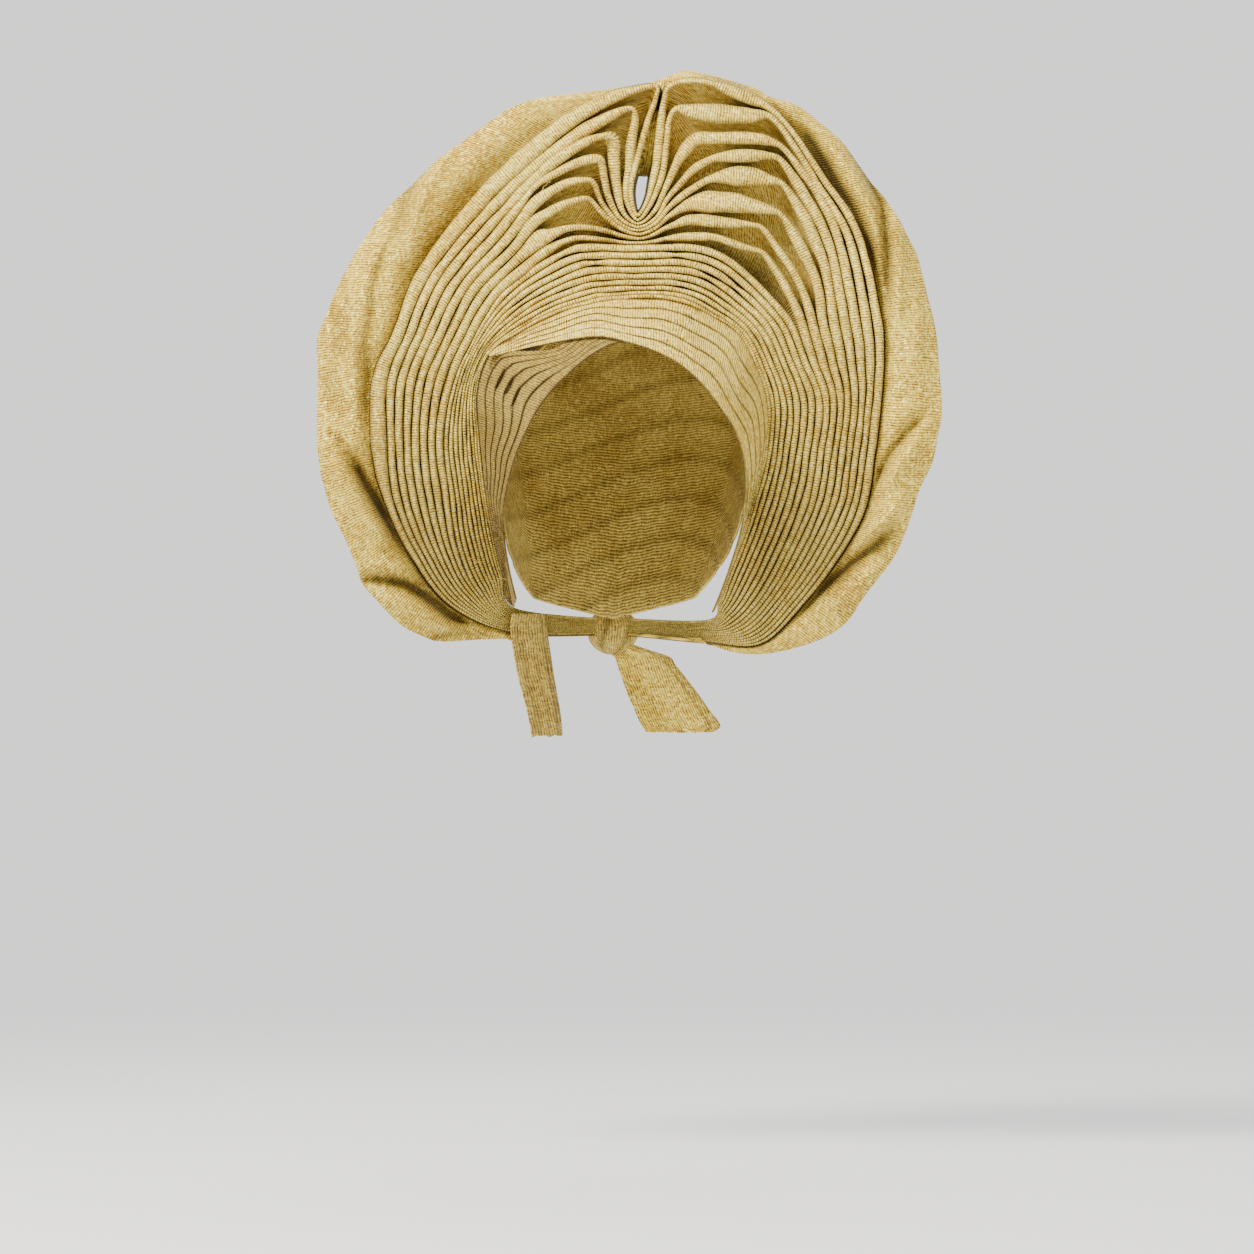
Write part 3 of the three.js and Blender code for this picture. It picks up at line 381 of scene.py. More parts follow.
def cloth_piece(name, grid, uv, shade=None, thickness=0.9, closed=False, flip=False, caps=()):
    """A grid of points (rows, columns, xyz in mm) as a mesh of quads with its weave map, given a wall behind it.

    A closed grid joins its last column to its first, and flip turns its faces over. `caps` lists the rings, 0 for
    the first and -1 for the last, that are closed with one flat face.
    """
    rows, cols = grid.shape[:2]
    index = np.arange(rows * cols).reshape(rows, cols)
    if closed:
        nxt = np.roll(index, -1, axis=1)
        a, b, c, d = index[:-1], index[1:], nxt[1:], nxt[:-1]
    else:
        a, b, c, d = index[:-1, :-1], index[1:, :-1], index[1:, 1:], index[:-1, 1:]
    faces = np.stack([a, b, c, d] if not flip else [a, d, c, b], axis=-1).reshape(-1, 4)
    mesh = bpy.data.meshes.new(name)
    mesh.vertices.add(rows * cols)
    mesh.vertices.foreach_set("co", (grid * MM).ravel())
    corners, sides = faces.ravel(), np.full(len(faces), 4)
    for ring in caps:
        rim = index[ring] if (ring == 0) != flip else index[ring][::-1]
        corners, sides = np.append(corners, rim), np.append(sides, cols)
    mesh.loops.add(len(corners))
    mesh.loops.foreach_set("vertex_index", corners)
    mesh.polygons.add(len(sides))
    mesh.polygons.foreach_set("loop_start", np.cumsum(sides) - sides)
    mesh.polygons.foreach_set("loop_total", sides)
    mesh.update(calc_edges=True)
    mesh.polygons.foreach_set("use_smooth", np.ones(len(sides), bool))
    layer = mesh.uv_layers.new(name="weave")
    layer.data.foreach_set("uv", uv.reshape(-1, 2)[corners].ravel())
    # Painted shade, and the loose ends' hem lines, kept on the points for the cloth to darken by.
    tone = mesh.attributes.new("fold_depth", "FLOAT", "POINT")
    tone.data.foreach_set("value", (np.zeros((rows, cols)) if shade is None else shade).ravel())
    piece = bpy.data.objects.new(name, mesh)
    bpy.context.scene.collection.objects.link(piece)
    if thickness:
        wall = piece.modifiers.new("cloth", "SOLIDIFY")
        wall.thickness = thickness * MM
        wall.offset = -1
        wall.use_even_offset = False
    return piece


# The fan's folds.

# How uneven a fold is along its length: its width as a share, and how far it slides across and back.
WIDTH_WAVE = 0.045
SLIDE_WAVE = 0.10
DEPTH_WAVE = 0.9
ALL_FOLDS = 17
PRESSED_FOLDS = 9
FIRST_LOOSE = 10
# Half a nose's width, as a share of the pitch: pressed folds at the sides and over the forehead, and loose folds.
SIDE_HALF = 0.45
FOREHEAD_HALF = 0.435
LOOSE_HALF = 0.455
LEAST_HALF = 0.25
# Round a nose, then back along its wall as shares of the wall's length.
NOSE_ANGLES = np.radians([-90, -66, -44, -22, 0, 22, 44, 66, 90])
WALL_STEPS = (0.34, 0.7)
WALL_DRAW = 0.30
# How far back a nose curves: a share of its half width, but no more than a start and a share, nor half the depth.
NOSE_BACK = 1.35
NOSE_MOST = (1.5, 0.42)
FURROW_SHARE = 0.8
# The far side of the outermost pressed furrow lies this much further back.
FAR_SIDE = 1.2
# Air between the backs of the folds and the head under the wrap.
WRAP_ROOM = 5.4
BACK_ROOM = 0.8
LEAST_DEPTH = 0.6
# Painted shade: how dark the cloth is painted, least and most on a wall, at a nose's edge, and how much less in
# open furrows.
WALL_PAINTED_SHADE = (0.55, 0.45)
NOSE_PAINTED_SHADE = 0.55
OPEN_LIGHT = 0.72
OPEN_FROM = 1
OPEN_OVER = 4
LAP_PAINTED_SHADE = 0.45


def pressed_share(fold):
    """Where a pressed fold lies from fold 1 (0) to fold 9 (1), and the pitch there: the pitch grows outwards."""
    t = (fold - 1) / (PRESSED_FOLDS - 1)
    return t ** 1.25, 1.25 * max(t, 0.1) ** 0.25 / (PRESSED_FOLDS - 1)


def side_fold(row, fold):
    """x, z, y, half width and depth share of a fold at one side section: even steps between the named folds."""
    name, x1, z1, x9, z9, x10, z10, x17, z17, y1, y17, depth, half17 = row
    y = y1 + (y17 - y1) * (fold - 1) / (ALL_FOLDS - 1)
    if fold <= PRESSED_FOLDS:
        t, pitch = pressed_share(fold)
        pitch *= math.hypot(x9 - x1, z9 - z1)
        return x1 + (x9 - x1) * t, z1 + (z9 - z1) * t, y, SIDE_HALF * pitch, depth
    loose = ALL_FOLDS - FIRST_LOOSE
    far = math.hypot(x17 - x10, z17 - z10)
    reach = 1 - max(0, half17 - LOOSE_HALF * far / loose) / far
    pitch = far * reach / loose
    t = 1 if fold == ALL_FOLDS else (fold - FIRST_LOOSE) / loose * reach
    half = half17 if fold == ALL_FOLDS else LOOSE_HALF * pitch
    return x10 + (x17 - x10) * t, z10 + (z17 - z10) * t, y, half, depth


def fold_knots(fold):
    """The knots of one fold's nose, from the left nape to the right nape."""
    left = [side_fold(row, fold) for row in LEFT_SECTIONS]
    right = [side_fold(row, fold) for row in RIGHT_SECTIONS]
    if fold <= PRESSED_FOLDS:
        t, pitch = pressed_share(fold)
        middle = []
        for name, x1, z1, x9, z9, y in FOREHEAD:
            half = FOREHEAD_HALF * pitch * math.hypot(x9 - x1, z9 - z1)
            middle.append((x1 + (x9 - x1) * t, z1 + (z9 - z1) * t, y, half, 1.0))
    else:
        middle = [(x, z, y, half, 1.0) for (x, z, half), y in zip(CREST[fold], CREST_Y)]
    return np.array(left + middle + right)


def fold_lines(fold, t):
    """A fold's line in detail: centre x, y, z, unit direction across it (x, z), half width and depth share."""
    x, z, y, half, depth = smooth_curve(fold_knots(fold), t).T
    run = run_length(np.column_stack([x, y, z]))
    way = np.gradient(np.column_stack([x, z]), axis=0)
    way = soften(way, 3)
    way /= np.maximum(np.linalg.norm(way, axis=1, keepdims=True), 1e-9)
    across = np.column_stack([-way[:, 1], way[:, 0]])
    loose = np.clip(depth, 0.1, 1)
    half = half * (1 + waves(fold * 7 + 1, run, (31, 17, 53), WIDTH_WAVE))
    for parted, at_x, at_z, long, share in SLITS:
        if parted == fold:
            half = half * (1 - share * np.exp(-((np.hypot(x - at_x, z - at_z) / long) ** 2)))
    half = np.maximum(half, LEAST_HALF)
    slide = waves(fold * 7 + 2, run, (47, 23), SLIDE_WAVE) * loose
    x, z = x + across[:, 0] * slide, z + across[:, 1] * slide
    y = y + waves(fold * 7 + 3, run, (61, 27, 90), DEPTH_WAVE) * loose
    return {"x": x, "y": y, "z": z, "across": across, "half": half, "depth": depth, "run": run}


def pleat_wall(first, last, t, deepest, lead=None, closing=None):
    """Standing pleats from one fold to another: round noses, walls that draw in behind them, and furrows.

    Across a pleat the line is a half superellipse for the nose, then runs back along the wall to the middle of
    the furrow at the pleat's depth, and forward again to the next nose.
    """
    lines = {f: fold_lines(f, t) for f in range(first, last + 1)}
    columns, maps, shades = [], [], []
    lit = {first - 1: 1.0 if first == 1 else LAP_PAINTED_SHADE, last: 1.0}
    for f in range(first, last):
        a, b = lines[f], lines[f + 1]
        apart = np.hypot(a["x"] - b["x"], a["z"] - b["z"]) - a["half"] - b["half"]
        lit[f] = 1 - OPEN_LIGHT * np.clip((apart - OPEN_FROM) / OPEN_OVER, 0, 1)
    travel = np.zeros(len(t))
    middle = len(t) // 2

    def behind(fold, deep):
        """The furrow's far side, just behind the outermost pressed fold."""
        inner = fold_lines(fold, pressed_places(t))
        return inner["x"], inner["y"] + deep + FAR_SIDE, inner["z"]

    def add(x, y, z, u, shade):
        nonlocal travel
        point = np.column_stack([x, y, z])
        if columns:
            travel = travel + np.linalg.norm(point - columns[-1], axis=1)
        columns.append(point)
        maps.append(np.column_stack([u, travel]))
        shades.append(np.broadcast_to(shade, x.shape))

    def depth_of(line):
        deep = deepest * line["depth"]
        room = head_front(line["x"], line["z"], WRAP_ROOM) - line["y"]
        return np.clip(np.minimum(deep, room - BACK_ROOM), LEAST_DEPTH, None)

    for fold in range(first, last + 1):
        line = lines[fold]
        x, y, z, half = line["x"], line["y"], line["z"], line["half"]
        u = line["run"] - line["run"][middle]
        deep = depth_of(line)
        bulge = np.minimum(half * NOSE_BACK, NOSE_MOST[0] + NOSE_MOST[1] * half)
        bulge = np.minimum(bulge, deep * 0.5)

        def at(c, d):
            """A place beside the nose's middle by c and behind its front by d."""
            return x + line["across"][:, 0] * c, y + d, z + line["across"][:, 1] * c

        def wall(side, step):
            """A place on a wall: the pleat draws in by WALL_DRAW as it runs back."""
            return at(side * half * (1 - WALL_DRAW * step), bulge + (deep - bulge) * step)

        if fold == first:
            add(*(at(-half - lead, deep) if first == 1 else behind(first - 1, deep)), u, lit[first - 1])
        # The walls are painted with shade that deepens towards the furrow.
        for step in WALL_STEPS[::-1]:
            add(*wall(-1, step), u, (WALL_PAINTED_SHADE[0] + WALL_PAINTED_SHADE[1] * step) * lit[fold - 1])
        for angle in NOSE_ANGLES:
            # Painted shade: the nose is painted darker towards its sides, where it turns from the light.
            painted_dark = NOSE_PAINTED_SHADE * abs(np.sin(angle)) ** 2.5
            add(*at(np.sin(angle) * half, bulge * (1 - np.cos(angle))), u, painted_dark)
        for step in WALL_STEPS:
            add(*wall(1, step), u, (WALL_PAINTED_SHADE[0] + WALL_PAINTED_SHADE[1] * step) * lit[fold])
        if fold < last:
            after = lines[fold + 1]
            furrow_x, furrow_z = (
                (line[axis] + line["across"][:, k] * half * FURROW_SHARE
                 + after[axis] - after["across"][:, k] * after["half"] * FURROW_SHARE) / 2
                for k, axis in enumerate("xz"))
            furrow_y = (y + after["y"]) / 2 + (deep + depth_of(after)) / 2
            u_after = after["run"] - after["run"][middle]
            add(furrow_x, furrow_y, furrow_z, (u + u_after) / 2, lit[fold])
        elif closing is not None:
            add(*at(half + closing, deep), u, 1.0)
    grid = np.stack(columns, axis=1)
    # Painted shade: darker towards the nape, where less light falls.
    low = np.clip((LOW_PAINTED_SHADE[0] - grid[..., 2]) / LOW_PAINTED_SHADE[1], 0, 1) * LOW_PAINTED_SHADE[2]
    return grid, np.stack(maps, axis=1), np.clip(np.stack(shades, axis=1) + low, 0, 1)


def fan_stations(crest_count, side_steps, crest_steps):
    """Places along the folds: side_steps to a side section and crest_steps to each place over the crown."""
    left, right = len(LEFT_SECTIONS), len(RIGHT_SECTIONS)
    total = left + crest_count + right
    steps = [crest_steps if left - 1 <= k < left + crest_count else side_steps for k in range(total - 1)]
    return np.concatenate([k + np.arange(n) / n for k, n in enumerate(steps)] + [[total - 1]])


def pressed_places(t):
    """Places along the pressed folds that lie beside places along the loose folds."""
    left = len(LEFT_SECTIONS)
    known = [(k, k) for k in range(left)]
    known += [(left + CREST_PLACES.index(name), left + at) for name, at in (
        ("slope", -0.25), ("ascent_high", 0), ("peak", 0.6), ("turn", 1), ("neck", 1.6), ("pinch", 2),
        ("climb", 3), ("rise", 3.4), ("hump", 3.7), ("crest_left", 4), ("crest", 4.4), ("crest_right", 4.7),
        ("corner", 5), ("drop", 5.3), ("fall", 5.6), ("shoulder", 5.8))]
    known += [(left + len(CREST_PLACES) + k, left + len(FOREHEAD) + k) for k in range(len(RIGHT_SECTIONS))]
    return np.interp(t, *np.array(known, float).T)


# The brim across its width: how its points crowd inwards, where it starts behind fold 17 as a share of the half
# width, how far it tucks back there and over what width, the least valley, and where creases start to show.
BRIM_CROWD = 1.15
BRIM_START = 0.7
BRIM_TUCK = 16
TUCK_WIDE = 2.0
LEAST_VALLEY = 3
CREASE_FROM = 0.12
CREASE_ROOM = 20
# Painted shade in the valley beside fold 17: the valley depth that gives the most, and the most.
VALLEY_PAINTED_SHADE = (14, 0.8)


def brim_grid(t, count):
    """The brim: from the valley behind fold 17, forward over a soft swell and out to the rim, then the creases."""
    line = fold_lines(17, t)
    rim = np.array(RIM, float)
    way = run_length(rim[:, :2])
    rim_x, rim_z = np.array([row[1:3] for row in BRIM], float).T
    marks = np.maximum.accumulate(nearest_on(rim[:, :2], rim_x, rim_z)[1])
    at = np.interp(t, np.arange(len(marks)), marks)
    at = soften(at[:, None], 6)[:, 0]
    edge = smooth_curve(rim, np.interp(at, way, np.arange(len(rim))))
    valley, wide, swell = table_curve(BRIM, (3, 4, 5), t).T
    edge_x, edge_z, edge_y = edge.T
    from_x, from_z = (line[axis] + line["across"][:, k] * line["half"] * BRIM_START for k, axis in enumerate("xz"))
    dips = [len(LEFT_SECTIONS) + CREST_PLACES.index(name) for name in ("flank_low", "climb_low")]
    dipped = np.clip((TONGUE_Z - from_z) / 6, 0, 1) * (t > dips[0]) * (t < dips[1])
    from_x = from_x + (np.interp(t, dips, TONGUE_X) - from_x) * dipped
    from_z = np.where((t > dips[0]) & (t < dips[1]), np.maximum(from_z, TONGUE_Z), from_z)
    s = np.linspace(0, 1, count)[None, :] ** BRIM_CROWD
    width = np.hypot(edge_x - from_x, edge_z - from_z)
    x, z = between(from_x, edge_x, s), between(from_z, edge_z, s)
    out = width[:, None] * s
    valley = np.maximum(valley, LEAST_VALLEY)
    deep = valley[:, None] * np.exp(-(out / np.maximum(wide, 1)[:, None]) ** 2)
    tuck = (BRIM_TUCK * line["depth"] - valley)[:, None] * np.clip(1 - out / TUCK_WIDE, 0, 1) ** 2
    rise = swell[:, None] * np.sin(np.pi * np.clip(s, 0, 1)) ** 1.2
    y = line["y"][:, None] * (1 - s) + edge_y[:, None] * s + deep + tuck - rise
    run = at - at[len(at) // 2]
    soft = np.clip(s / CREASE_FROM, 0, 1) * np.clip(width / CREASE_ROOM, 0, 1)[:, None]
    y = y + pressed(x, z, CREASES) * soft
    y = y + (waves(91, run, (37, 83), 0.7)[:, None] * s + waves(92, run, (11, 19), 0.35)[:, None] * s ** 3) * soft
    grid = np.stack([x, y, z], axis=-1)
    # Painted shade in the valley and the tuck, towards the nape and in the creases.
    painted_dark = np.clip(deep / VALLEY_PAINTED_SHADE[0] + np.clip(tuck, 0, 1), 0, 1) * VALLEY_PAINTED_SHADE[1]
    painted_dim = np.clip((BRIM_PAINTED_SHADE[0] - z) / BRIM_PAINTED_SHADE[1], 0, 1) * BRIM_PAINTED_SHADE[2]
    return grid, weave_map(run, grid), np.clip(painted_dark + painted_dim + pressed(x, z, CREASES, 2) * soft, 0, 1)


# Bands, wrap, knot and ends.

# The number of each section along the pressed folds.
SIDE_NAMES = {row[0]: k for k, row in enumerate(LEFT_SECTIONS + FOREHEAD + RIGHT_SECTIONS)}
# A band: the least gap before fold 1, how far under it the band's edge lies, its swell across, how its pleats
# wander, over what share of a pleat its step rises, and how wide the painted shade is on each side of a step.
BAND_GAP = 0.9
BAND_UNDER = 3
BAND_SWELL = 3
BAND_WANDER = 0.05
STEP_SHARE = 0.08
STEP_PAINTED_SHADE = (0.12, 0.06)


def band_grid(rows, lift, pleats, steps, across, puckers, step_height, painted_dim):
    """A band from its hem to just short of fold 1: flat pleats, each laid over the next with a small step."""
    places = np.array([SIDE_NAMES[row[0]] for row in rows], float)
    at = np.linspace(0, len(rows) - 1, (len(rows) - 1) * steps + 1)
    hem_x, hem_y, hem_z, tuck = table_curve(rows, (1, 2, 3, 4), at).T
    place = np.interp(at, np.arange(len(rows)), places)
    fold_x, fold_z, fold_y = smooth_curve(fold_knots(1), place)[:, :3].T
    width = np.hypot(fold_x - hem_x, fold_z - hem_z)
    end = 1 - np.maximum(tuck, BAND_GAP / width)
    root_x, root_y, root_z = (hem + (fold - hem) * end for hem, fold in
                              ((hem_x, fold_x), (hem_y, fold_y + BAND_UNDER), (hem_z, fold_z)))
    s = np.linspace(0, 1, across)[None, :]
    run = run_length(np.column_stack([hem_x, hem_y, hem_z]))
    wander = waves(17, run, (70, 41), BAND_WANDER)[:, None] * np.sin(np.pi * s)
    phase = (s + wander) * pleats
    saw = phase - np.floor(phase)
    rise = step_height * (1 - saw) * np.clip(saw / STEP_SHARE, 0, 1)
    flat = np.clip(1 - 3 * tuck, 0, 1)[:, None] * np.clip(width / 18, 0.35, 1)[:, None]
    bulge = (BAND_SWELL * np.sin(np.pi * s) + rise) * flat
    x, z = between(hem_x, root_x, s), between(hem_z, root_z, s)
    y = between(hem_y, root_y, s) - bulge + pressed(x, z, puckers)
    y = np.minimum(y, head_front(x, z, lift))
    grid = np.stack([x, y, z], axis=-1)
    # Painted shade along each pleat step and in the puckers, over an even painted darkening of the lower band.
    painted_step_shade = np.exp(-((saw / STEP_PAINTED_SHADE[0]) ** 2)) + np.exp(-(((1 - saw) / STEP_PAINTED_SHADE[1]) ** 2))
    return grid, weave_map(run, grid), np.clip(painted_step_shade * 0.95 + pressed(x, z, puckers) * 0.3 + painted_dim, 0, 1)


# The wrap: its top and its height over the head, how its rows sweep down, its clearance, how its pleats slant,
# how far apart and deep they are, how much shade is painted in them, and the size of its weave map.
WRAP_TOP = 2.049
WRAP_RISE = 2.05
WRAP_SWEEP = (0.94, 0.094)
WRAP_CLEAR = 2.0
WRAP_SLANT = (0.9, 24, 13)
WRAP_PLEAT = 21
WRAP_CREASE = 0.7
WRAP_PAINTED_SHADE = 0.42
WRAP_WEAVE = (240, 90)


def wrap_grid(rows, around):
    """The wrap round the skull: ellipses stacked from the crown to the hem, with shallow slanting pleats."""
    hem = np.array(WRAP_HEM, float)
    angle = np.linspace(0, 2 * np.pi, around, endpoint=False)[None, :]
    bearing = np.degrees(np.abs((angle + np.pi) % (2 * np.pi) - np.pi))
    low = np.interp(bearing, hem[:, 0], hem[:, 1])
    r = np.linspace(0, 1, rows)[:, None]
    z = WRAP_TOP + (low - WRAP_TOP) * (1 - np.cos(r * np.pi / 2 * WRAP_SWEEP[0]) + WRAP_SWEEP[1] * r)
    down, once, twice = WRAP_SLANT
    pleat = (z * down + once * np.cos(angle) + twice * np.sin(2 * angle)) / WRAP_PLEAT
    saw = pleat - np.floor(pleat)
    soft = np.cos(np.pi * saw) ** 14
    grow = WRAP_CLEAR - WRAP_CREASE * soft * np.clip(r * 3, 0, 1)
    share = np.sqrt(np.clip(1 - ((z + HEAD_DEEP) / (HEAD_DEEP + WRAP_RISE)) ** 2, 0, 1))
    above = z > -HEAD_DEEP
    low_x, low_half, front, back = head_rows(z)
    middle_x = np.where(above, 0, low_x)
    middle_y = np.where(above, 0, (front + back) / 2)
    cloth = grow * np.where(above, share ** 0.5, 1)
    half_x = np.where(above, HEAD_HALF_X * share, low_half) + cloth
    half_y = np.where(above, HEAD_HALF_Y * share, (back - front) / 2) + cloth
    x = middle_x + half_x * np.sin(angle)
    y = middle_y - half_y * np.cos(angle)
    z = z + (grow - WRAP_CLEAR) * np.where(above, 1 - share, 0)
    grid = np.stack(np.broadcast_arrays(x, y, z), axis=-1)
    uv = np.stack(np.broadcast_arrays(r * WRAP_WEAVE[0], angle * WRAP_WEAVE[1]), axis=-1)
    # Painted shade in the pleats' grooves.
    return grid, uv, soft * WRAP_PAINTED_SHADE


def knot_grid(rows, cols):
    """The knot: a squashed ball whose cloth is drawn round it in lobes with a slanting turn over its middle."""
    polar = np.linspace(0.04, np.pi - 0.04, rows)[:, None]
    turn = np.linspace(0, 2 * np.pi, cols, endpoint=False)[None, :]
    swirl = 5 * turn + 2.2 * polar
    lobe = 1 - 0.13 * (0.5 + 0.5 * np.cos(swirl)) ** 2
    fine = 1 + 0.02 * np.cos(19 * turn + 9 * polar)
    over = 1 + 0.10 * np.exp(-((polar - 1.5 - 0.35 * np.sin(turn)) / 0.28) ** 2)
    size = lobe * fine * over
    x = KNOT["x"] + KNOT["half_x"] * size * np.sin(polar) * np.cos(turn)
    y = KNOT["y"] + KNOT["half_y"] * size * np.sin(polar) * np.sin(turn)
    z = KNOT["z"] + KNOT["half_z"] * (0.9 + 0.1 * over) * np.cos(polar)
    grid = np.stack(np.broadcast_arrays(x, y, z), axis=-1)
    uv = np.stack(np.broadcast_arrays(turn * KNOT["weave_x"], polar * KNOT["weave_z"]), axis=-1)
    # Painted shade in the hollows between the lobes.
    return grid, uv, np.clip(0.5 + 0.5 * np.cos(swirl), 0, 1) ** 3 * 0.6


def tail_grid(rows, down, across, seed):
    """A loose end: its edges follow the table, and it curls and ripples softly from edge to edge."""
    t = np.linspace(0, len(rows) - 1, down)
    z, left_x, left_y, right_x, right_y, bow = smooth_curve(np.array(rows, float), t).T
    s = np.linspace(0, 1, across)[None, :]
    x = between(left_x, right_x, s)
    y = between(left_y, right_y, s) + bow[:, None] * np.sin(2 * np.pi * s)
    y = y + 0.8 * np.sin(2 * np.pi * (3 * s + 0.3)) * np.clip(np.linspace(0, 1, down) * 2, 0, 1)[:, None]
    zz = z[:, None] + waves(seed, s[0] * 30, (9, 17), 0.5)[None, :] * (np.linspace(0, 1, down)[:, None] > 0.98)
    grid = np.stack(np.broadcast_arrays(x, y, zz), axis=-1)
    uv = np.stack(np.broadcast_arrays((x - left_x[:, None]), -zz), axis=-1)
    stitched = 0.55 * np.exp(-(((s - 0.86) / 0.025) ** 2)) + 0.4 * np.clip((s - 0.9) / 0.1, 0, 1)
    return grid, uv, np.broadcast_to(stitched + 0.12, (down, across))


def front_at(points, x, z):
    """How far forward a piece reaches close to a place in the front view, a hair inside its face."""
    away = np.hypot(points[:, 0] - x, points[:, 2] - z)
    return points[away < away.min() + 2.0][:, 1].min() + 0.4


def thread_points(start, way, length, sag, seed):
    """A stray thread: from its start along its way, falling and curling a little."""
    t = np.linspace(0, 1, 12)
    curl = np.column_stack([waves(seed, t, (0.7, 0.4), 0.10), waves(seed + 1, t, (0.6,), 0.05),
                            waves(seed + 2, t, (0.8, 0.5), 0.10)]) * length * t[:, None]
    return np.array(start) + np.outer(t * length, way) + curl - np.outer(t ** 2 * sag, (0, 0, 1))


def tube(points, radius, sides=6):
    """A round tube carried along a line of points, drawn in at its ends."""
    way = np.gradient(points, axis=0)
    way /= np.linalg.norm(way, axis=1, keepdims=True)
    side = np.cross(way, (0.31, 0.77, 0.55))
    side /= np.linalg.norm(side, axis=1, keepdims=True)
    up = np.cross(way, side)
    angle = np.linspace(0, 2 * np.pi, sides, endpoint=False)
    taper = np.ones(len(points))
    taper[0] = taper[-1] = 0.05
    ring = (np.cos(angle)[None, :, None] * side[:, None, :] + np.sin(angle)[None, :, None] * up[:, None, :])
    return points[:, None, :] + ring * (radius * taper)[:, None, None]


# Materials.

class Knit:
    """A socket in a material, so that sums on sockets are written as sums."""

    def __init__(self, shader, socket):
        self.shader, self.socket = shader, socket

    def op(self, kind, *others):
        return self.shader.node("ShaderNodeMath", {"operation": kind}, [self, *others])

    def after(self, kind, first):
        return self.shader.node("ShaderNodeMath", {"operation": kind}, [first, self])

    def __add__(self, other):
        return self.op("ADD", other)

    def __sub__(self, other):
        return self.op("SUBTRACT", other)

    def __mul__(self, other):
        return self.op("MULTIPLY", other)

    def __truediv__(self, other):
        return self.op("DIVIDE", other)

    def __radd__(self, other):
        return self.after("ADD", other)

    def __rsub__(self, other):
        return self.after("SUBTRACT", other)

    def __rmul__(self, other):
        return self.after("MULTIPLY", other)

    def __rtruediv__(self, other):
        return self.after("DIVIDE", other)


class Finish:
    """A material being worked out, one node after another."""

    def __init__(self, name):
        self.material = bpy.data.materials.new(name)
        self.material.use_nodes = True
        self.tree = self.material.node_tree
        self.tree.nodes.clear()

    def node(self, kind, settings=None, inputs=None, out=0):
        """Adds a node: its settings first, then its sockets' values or links; gives its output, if it has one."""
        made = self.tree.nodes.new(kind)
        for key, value in (settings or {}).items():
            setattr(made, key, value)
        pairs = inputs.items() if isinstance(inputs, dict) else enumerate(inputs or [])
        for key, value in pairs:
            if value is None:
                continue
            if isinstance(value, Knit):
                self.tree.links.new(value.socket, made.inputs[key])
            else:
                made.inputs[key].default_value = value
        return Knit(self, made.outputs[out]) if len(made.outputs) else None

    def mix(self, share, low, high):
        """One colour turned into another by a share from 0 to 1."""
        return self.node("ShaderNodeMix", {"data_type": "RGBA"}, {0: share, 6: low, 7: high}, out=2)

    def ramp(self, value, low, high):
        """A value spread so that low becomes 0 and high becomes 1."""
        return self.node("ShaderNodeMapRange", {"clamp": True}, {0: value, 1: low, 2: high, 3: 0.0, 4: 1.0})


# The weave: from one rib to the next, how long a thread's dash is, and how far the ribs wander.
RIB = 1.55
DASH = 0.95
WANDER = 1.6


